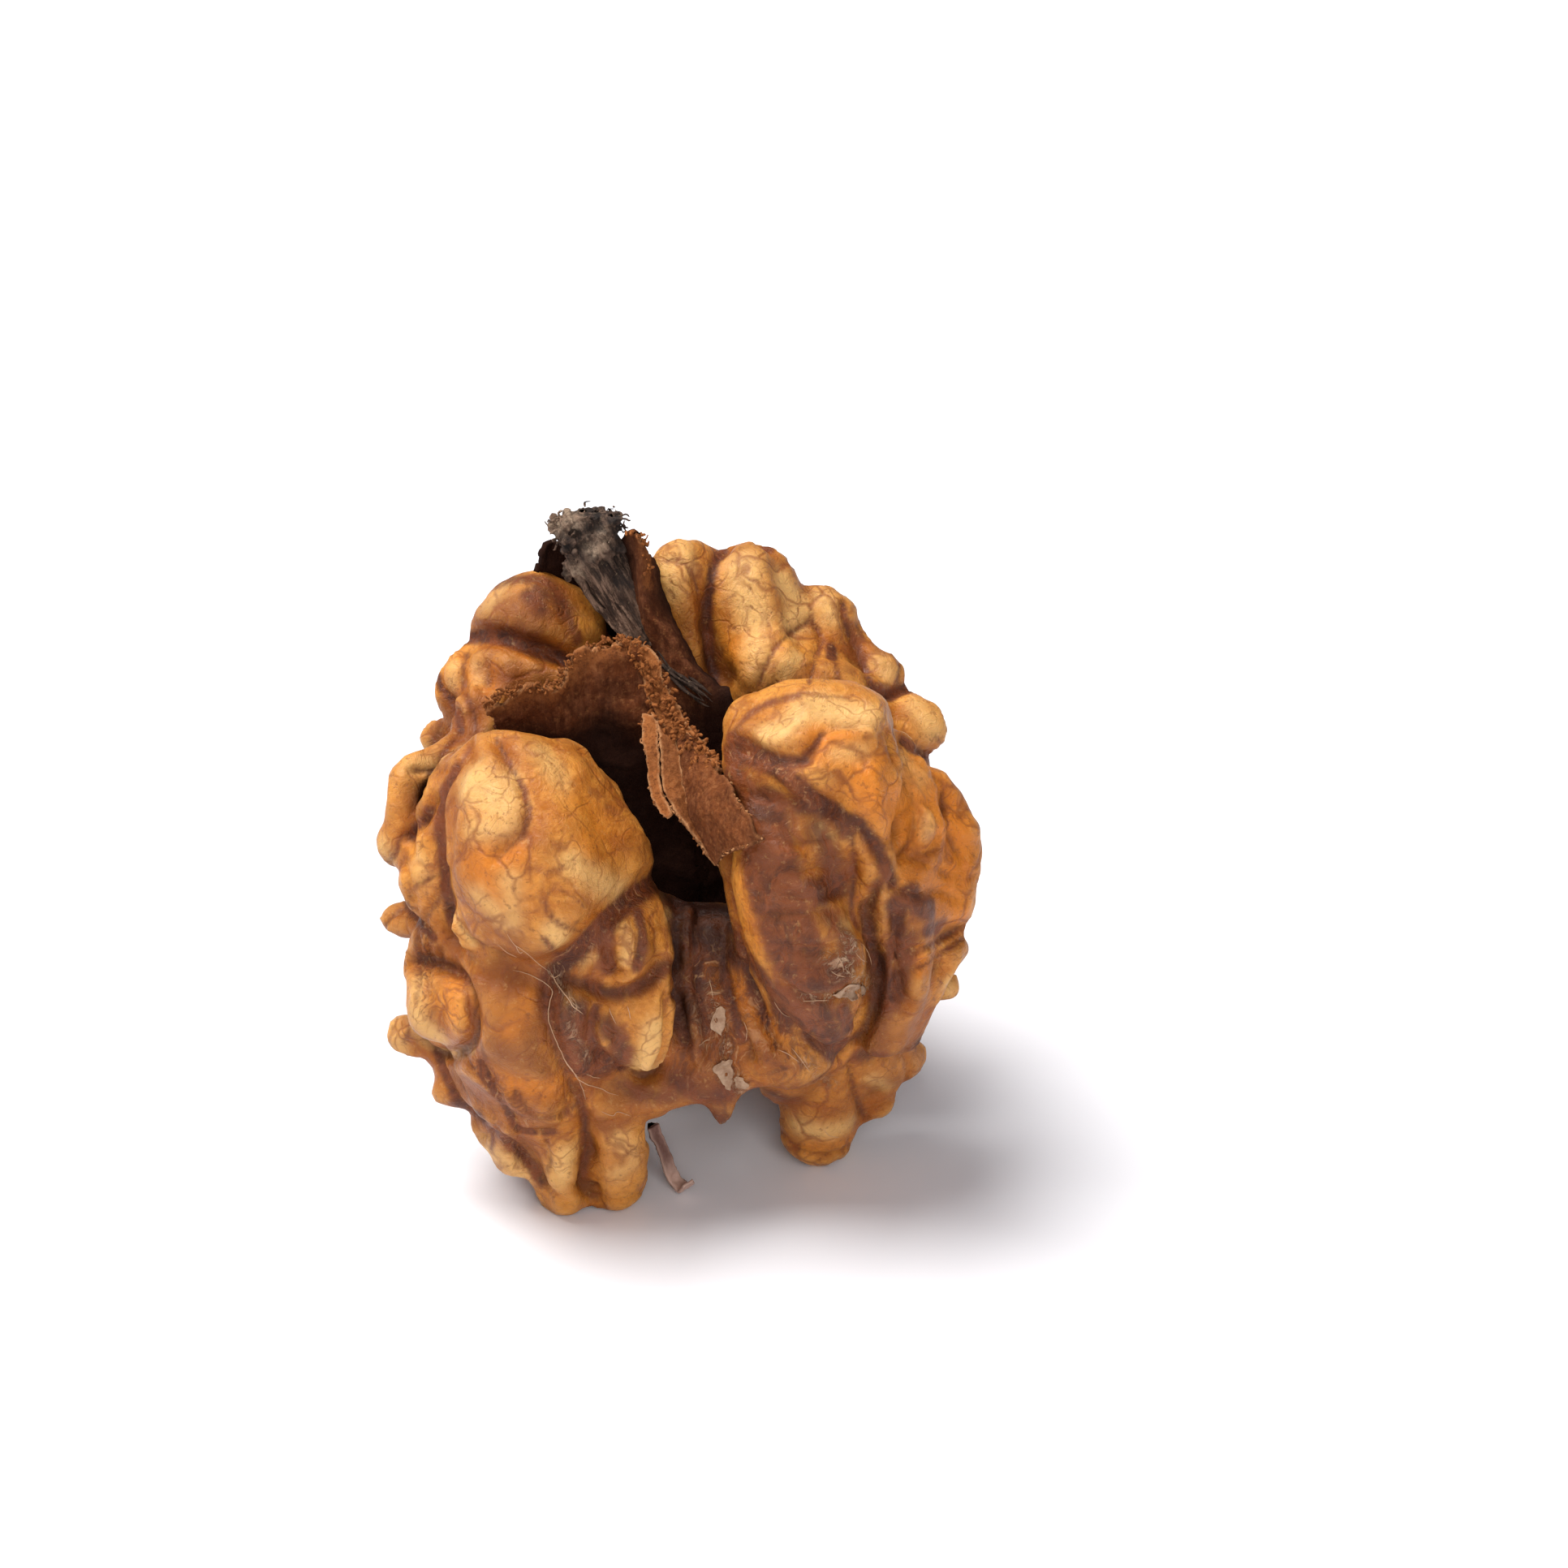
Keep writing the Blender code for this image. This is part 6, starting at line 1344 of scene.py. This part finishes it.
def spots_near(seen_at, spots, reach):
    """How near each seen place is to one of the spots, from nought to one."""
    return np.max([np.exp(-(np.linalg.norm(seen_at - spot, axis=1) / reach)**2) for spot in spots], axis=0)


def ball_mesh(balls):
    """One mesh of a small sphere for each row of x, y, z, radius."""
    bm = bmesh.new()
    bmesh.ops.create_icosphere(bm, subdivisions=2, radius=1)
    unit = np.array([v.co for v in bm.verts])
    faces = np.array([[v.index for v in f.verts] for f in bm.faces])
    bm.free()
    spots = (balls[:, None, :3] + balls[:, None, 3:] * unit[None]).reshape(-1, 3)
    corners = (faces[None] + len(unit) * np.arange(len(balls))[:, None, None]).reshape(-1, 3)
    mesh = bpy.data.meshes.new("balls")
    mesh.from_pydata(spots.tolist(), [], corners.tolist())
    return mesh


# The split core with its ridges, and the crumbs of the head, melted into one skin
rng = np.random.default_rng(STALK_SEED)
core = smooth_line([(*stand(*spot[:3]), spot[3]) for spot in STALK], 0.1)
axis = core[-1, :3] - core[0, :3]
axis /= np.linalg.norm(axis)
side = np.cross(axis, SIGHT)
side /= np.linalg.norm(side)
front = np.cross(side, axis)
chains = [core * (1, 1, 1, STALK_CORE)]
for k in range(STALK_RIDGES):
    turn = 2 * math.pi * (k + rng.uniform(-0.4, 0.4)) / STALK_RIDGES
    first, last = rng.integers(0, 12), len(core) - rng.integers(0, 16)
    part = core[first:last].copy()
    sway = turn + 0.25 * np.sin(np.linspace(0, rng.uniform(2, 6), len(part)) + rng.uniform(0, 6))
    reach = part[:, 3] * rng.uniform(0.72, 0.95)
    part[:, :3] += (reach * np.cos(sway))[:, None] * side + (0.8 * reach * np.sin(sway))[:, None] * front
    part[:, 3] = rng.uniform(0.09, 0.26) * (1 - 0.5 * np.linspace(0, 1, len(part))**3)
    chains.append(part)
for x, y, depth, radius, count in HEAD_KNOBS:
    middle = np.array(stand(x, y, depth))
    chains.append(np.array([(*middle, 0.8 * radius)]))
    for _ in range(count):
        way = rng.normal(size=3)
        way *= radius * rng.uniform(0.7, 1.12) / np.linalg.norm(way)
        chains.append(np.array([(*(middle + way), rng.uniform(0.09, 0.34))]))
lumps, lump_quads, edges = reskinned(ball_mesh(np.vstack(chains)), STALK_GRAIN)
lumps = eased(lumps, edges, 1)
crumbly = bumps(lumps, 0.5, 3)
along = (lumps - core[0, :3]) @ axis
split = bumps(np.column_stack([lumps @ side, lumps @ front, 0.16 * along]), 0.34, 4)
woody = step_up(along, -0.6, 1.2)
lumps += normals_of(lumps, lump_quads) * (0.15 * (1 - woody) * crumbly + 0.2 * woody * split)[:, None]

# The thin strings that run on down the cleft, and those that stand off the head
parts = [(lumps, lump_quads)]
tail = smooth_line([stand(*spot) for spot in TAIL], 0.12)
for _ in range(STALK_TAILS):
    shift = rng.normal(size=3) * (0.36, 0.3, 0.16)
    sway = 0.25 * rng.normal(size=3) * np.sin(np.linspace(0, rng.uniform(2, 7), len(tail)))[:, None]
    thin = 1 - 0.5 * np.linspace(0, 1, len(tail))[:, None]
    string = (tail + shift * thin + sway)[rng.integers(0, 10):len(tail) - rng.integers(0, 16)]
    parts.append(strand(string, rng.uniform(0.05, 0.11)))
for _ in range(HEAD_FIBRES):
    x, y, depth, radius, _ = HEAD_KNOBS[rng.integers(0, 4)]
    way = rng.normal(size=3)
    start = np.array(stand(x, y, depth)) + way * 0.85 * radius / np.linalg.norm(way)
    parts.append(strand(wandering(start, way, rng.uniform(0.4, 0.9), 0.5, rng), rng.uniform(0.035, 0.08)))
points, quads, owner = gathered(parts)
low, high = (np.array(corner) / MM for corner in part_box("stalk"))
points = np.clip(points, low - 0.2, high + 0.1)

# What its finish is told: how far a spot stands out of the bundle, and where the head is pale or black
seen_rise = points[:, 2] * math.cos(SIGHT_ANGLE) + (points[:, 1] - MIDDLE[1]) * math.sin(SIGHT_ANGLE)
seen_at = np.column_stack([points[:, 0] - MIDDLE[0], seen_rise])
ashen = spots_near(seen_at, PALE_SPOTS, 0.5)
soot = spots_near(seen_at, BLACK_SPOTS, 0.8)
string_ridge = np.where(owner[len(lumps):] <= STALK_TAILS, -0.6, -0.1)
ridge = np.concatenate([np.where(woody > 0.5, split, crumbly - 0.15), string_ridge])

# Its finish: grey brown wood, its fibres pale and the cracks between them nearly black
WOOD_DARK = (0.055, 0.030, 0.020, 1)
WOOD_BROWN = (0.145, 0.080, 0.052, 1)
WOOD_FIBRE = (0.31, 0.19, 0.13, 1)
WOOD_CRACK = (0.030, 0.018, 0.013, 1)
WOOD_RIDGE = (0.34, 0.21, 0.145, 1)
WOOD_GROOVE = (0.022, 0.014, 0.011, 1)
WOOD_BLACK = (0.022, 0.020, 0.020, 1)
WOOD_ASH = (0.46, 0.33, 0.23, 1)
WOOD_SPECK = (0.36, 0.25, 0.16, 1)
finish, wood, shader, place = new_finish("dry stalk")
grain = cloud(wood, place, 2600, 5, 0.75)
patch = cloud(wood, place, 620, 5, 0.7, 0.4)
lengthwise = add(wood, "ShaderNodeMapping", {"Vector": place, "Rotation": STALK_TURN}).outputs[0]
lengthwise = add(wood, "ShaderNodeMapping", {"Vector": lengthwise, "Scale": (1, 1, 0.12)}).outputs[0]
fibre = cloud(wood, lengthwise, 3800, 5, 0.7)
color = glaze(wood, WOOD_DARK, patch, 0.35, 0.65, WOOD_BROWN)
color = glaze(wood, color, fibre, 0.50, 0.60, WOOD_FIBRE, 0, 0.75)
color = glaze(wood, color, fibre, 0.40, 0.49, WOOD_CRACK, 0.6, 0)
color = glaze(wood, color, painted(wood, "ridge"), 0.05, 0.45, WOOD_RIDGE, 0, 0.5)
color = glaze(wood, color, painted(wood, "ridge"), -0.5, -0.1, WOOD_GROOVE, 0.75, 0)
sooty = work_out(wood, "MULTIPLY", painted(wood, "soot"), between(wood, patch, 0.35, 0.6, 0.35, 0.9))
color = tint(wood, sooty, color, WOOD_BLACK)
ashy = work_out(wood, "MULTIPLY", painted(wood, "ashen"), between(wood, grain, 0.4, 0.6, 0.3, 1))
color = tint(wood, ashy, color, WOOD_ASH)
color = glaze(wood, color, grain, 0.58, 0.7, WOOD_SPECK, 0, 0.5)
shader.inputs["Roughness"].default_value = 0.85
shader.inputs["Specular IOR Level"].default_value = 0.2
dress(wood, shader, color, work_out(wood, "ADD", grain, fibre, False), 1.0, 0.00025)
stalk = new_piece("stalk_strand", points, quads, finish)
for name, values in (("ridge", ridge), ("ashen", ashen), ("soot", soot)):
    paint(stalk, name, values)
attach(stalk, "root")
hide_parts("stalk")

# The curl of skin
# A scrap of dry skin that hangs under the front arch and rolls up at its end.
SKIN_CURL = [                      # rows of (across, rise, depth) from the top down
    [(-2.2, 2.0, -7.0), (-1.6, 2.0, -6.6)],
    [(-1.8, 0.0, -7.2), (-1.2, 0.1, -6.6)],
    [(-1.1, -1.6, -7.2), (-0.5, -1.5, -6.6)],
    [(-0.7, -2.8, -7.0), (0.0, -2.7, -6.4)],
    [(-0.2, -3.4, -7.5), (0.6, -3.0, -7.0)],
    [(0.1, -3.0, -8.0), (0.7, -2.6, -7.8)],
]
CURL_GRID = 0.08
CURL_CRUMPLE = 0.15
CURL_THICK = 0.16
CURL_DARK = (0.10, 0.045, 0.032, 1)
CURL_BROWN = (0.20, 0.095, 0.07, 1)
CURL_TIP = (0.58, 0.38, 0.30, 1)
CURL_EDGE = (0.55, 0.36, 0.28, 1)
grid = sheet_points(SKIN_CURL, CURL_GRID, CURL_CRUMPLE)
points, quads, border = slab(grid, np.ones(grid.shape[:2], bool), CURL_THICK)
at_edge = np.exp(-(nearest_of(border, points) / 0.2)**2)
low, high = (np.array(corner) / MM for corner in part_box("skin_curl"))
points = np.clip(points, low - 0.1, high + 0.1)
finish, scrap, shader, place = new_finish("curled skin")
patch = cloud(scrap, place, 900, 4, 0.6)
height = add(scrap, "ShaderNodeSeparateXYZ", {0: place}).outputs["Z"]
color = tint(scrap, patch, CURL_DARK, CURL_BROWN)
color = glaze(scrap, color, height, 0.0006, 0.0026, CURL_TIP, 1, 0)
color = glaze(scrap, color, painted(scrap, "edge"), 0.3, 1, CURL_EDGE, 0, 0.4)
shader.inputs["Roughness"].default_value = 0.6
dress(scrap, shader, color, patch, 0.5, 0.0001)
curl = new_piece("curl_of_skin", points, quads, finish)
paint(curl, "edge", at_edge)
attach(curl, "root")
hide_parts("skin_curl")

# The loose scraps
# Pale bits of torn skin and a few thin white threads of it that cling to the folds in front.
FLAKES = [                         # rows of (across, rise), laid on the skin
    [[(2.09, 7.32), (2.32, 7.36), (2.55, 7.23)],
     [(1.91, 6.86), (2.27, 6.82), (2.59, 6.73)],
     [(1.68, 6.55), (2.14, 6.41), (2.50, 6.27)],
     [(1.77, 6.14), (2.05, 5.95), (2.32, 5.91)]],
    [[(2.41, 4.41), (2.68, 4.45), (2.95, 4.45)],
     [(1.91, 4.09), (2.41, 4.05), (2.91, 4.00)],
     [(2.09, 3.64), (2.55, 3.59), (3.00, 3.55)],
     [(2.36, 3.23), (2.64, 3.14), (2.91, 3.14)],
     [(2.59, 2.82), (2.73, 2.77), (2.86, 2.86)]],
    [[(3.00, 3.32), (3.32, 3.45), (3.64, 3.41)],
     [(3.09, 3.05), (3.45, 3.09), (3.82, 3.09)],
     [(3.23, 2.82), (3.50, 2.82), (3.68, 2.86)]],
    [[(9.27, 8.77), (9.73, 8.86), (10.18, 8.64)],
     [(8.95, 8.50), (9.64, 8.45), (10.36, 8.23)],
     [(8.45, 8.14), (9.18, 8.05), (9.91, 7.95)]],
]
THREADS = [                        # half width, then (across, rise) along each
    (0.028, [(-9.00, 9.59), (-8.32, 9.45), (-7.64, 9.14), (-7.18, 8.82), (-6.86, 8.45), (-7.00, 7.86),
        (-7.09, 6.86), (-6.73, 5.73), (-6.27, 4.59), (-5.91, 4.00), (-5.59, 3.45), (-5.05, 3.09),
        (-4.45, 2.86), (-3.91, 2.59), (-3.36, 2.41)]),
    (0.025, [(-6.32, 4.64), (-6.00, 4.05), (-5.55, 3.50)]),
    (0.037, [(-6.95, 9.45), (-6.64, 8.91), (-6.27, 8.41), (-5.91, 7.95), (-5.68, 7.59), (-5.18, 7.18)]),
    (0.025, [(-7.00, 9.32), (-6.73, 9.18), (-6.41, 9.36)]),
    (0.022, [(-9.18, 11.64), (-8.86, 11.09), (-8.45, 10.82), (-8.00, 10.41), (-7.55, 9.91), (-7.00, 9.50)]),
    (0.019, [(-8.77, 11.05), (-8.55, 10.59), (-8.32, 10.68)]),
    (0.019, [(-5.59, 3.45), (-5.36, 2.86), (-5.23, 2.23)]),
    (0.019, [(-5.14, 3.77), (-4.77, 3.55), (-4.36, 3.45)]),
    (0.019, [(-4.36, 1.55), (-3.73, 1.27), (-3.45, 1.50), (-2.73, 1.23)]),
    (0.019, [(-3.77, 7.50), (-3.64, 7.09), (-3.41, 6.59)]),
    (0.022, [(-2.77, 7.59), (-2.59, 6.86)]),
    (0.019, [(-9.77, 11.05), (-9.23, 10.59), (-8.73, 10.32)]),
    (0.019, [(-5.77, 7.86), (-5.55, 7.64), (-5.50, 7.32)]),
    (0.022, [(10.09, 11.05), (10.36, 10.68), (10.55, 10.23), (10.64, 9.77)]),
    (0.019, [(8.73, 10.36), (9.00, 9.95), (9.09, 9.50)]),
    (0.019, [(8.36, 9.59), (8.73, 9.36), (9.18, 9.23)]),
    (0.019, [(9.73, 10.59), (10.00, 10.23), (10.41, 9.95)]),
    (0.022, [(6.82, 7.91), (7.59, 7.95), (8.27, 7.95)]),
    (0.019, [(3.59, 6.64), (3.77, 6.05), (3.68, 5.50)]),
    (0.019, [(5.23, 7.86), (5.68, 7.14), (6.23, 6.86)]),
    (0.019, [(1.68, 8.91), (1.82, 8.32), (1.91, 7.86)]),
    (0.019, [(5.45, 5.05), (6.09, 4.77), (6.68, 4.32)]),
    (0.019, [(6.23, 5.14), (6.68, 4.59), (7.27, 3.77)]),
    (0.019, [(1.09, 5.27), (1.45, 5.50), (1.73, 5.59)]),
    (0.015, [(6.68, -1.77), (7.00, -2.05), (7.50, -2.09), (8.05, -1.91)]),
    (0.015, [(8.05, 0.27), (8.36, -0.18), (8.95, -0.32)]),
]
FLAKE_THICK = 0.05
FLAKE_WIDE = 16                    # spots of a flake's grid each way
FLAKE_TALL = 18
FLAKE_DARK = (0.26, 0.14, 0.075, 1)
FLAKE_PALE = (0.42, 0.27, 0.17, 1)
THREAD_TAN = (0.55, 0.33, 0.19, 1)


def laid(tree, line, lift):
    """Spots of a seen line on the skin, raised by lift mm towards the camera."""
    return on_skin(tree, line).reshape(-1, 3) + lift * np.array(SIGHT)


parts = []
for rows in FLAKES:
    found = [laid(skin_tree, row, 0.08) for row in rows]
    lines = [even_line(row, FLAKE_WIDE) for row in found if len(row) > 1]
    grid = np.array([even_line([line[k] for line in lines], FLAKE_TALL) for k in range(FLAKE_WIDE)])
    waves = bumps(grid.reshape(-1, 3), 0.5).reshape(FLAKE_WIDE, FLAKE_TALL)
    grid += 0.06 * waves[:, :, None] * SIGHT
    for spot in grid.reshape(-1, 3):
        spot += 0.16 * np.array(noise.noise_vector(Vector(spot) * 2.6))
    parts.append(slab(grid, np.ones((FLAKE_WIDE, FLAKE_TALL), bool), FLAKE_THICK)[:2])
points, quads, _ = gathered(parts)
finish, scrap, shader, place = new_finish("torn skin")
patch = cloud(scrap, place, 1500, 4, 0.7)
color = glaze(scrap, FLAKE_DARK, patch, 0.35, 0.65, FLAKE_PALE)
scrap.links.new(color, shader.inputs["Base Color"])
shader.inputs["Roughness"].default_value = 0.7
flakes = new_piece("skin_flakes", points, quads, finish)
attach(flakes, "root")

parts = []
for width, line in THREADS:
    spots = laid(skin_tree, smooth_line(line, 0.12), 0.03)
    spots += 0.03 * np.array([noise.noise_vector(Vector(spot) * 2.5) for spot in spots])
    parts.append(strand(spots, width))
points, quads, _ = gathered(parts)
finish, _, shader, _ = new_finish("threads of skin")
shader.inputs["Base Color"].default_value = THREAD_TAN
shader.inputs["Roughness"].default_value = 0.6
threads = new_piece("skin_threads", points, quads, finish)
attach(threads, "root")
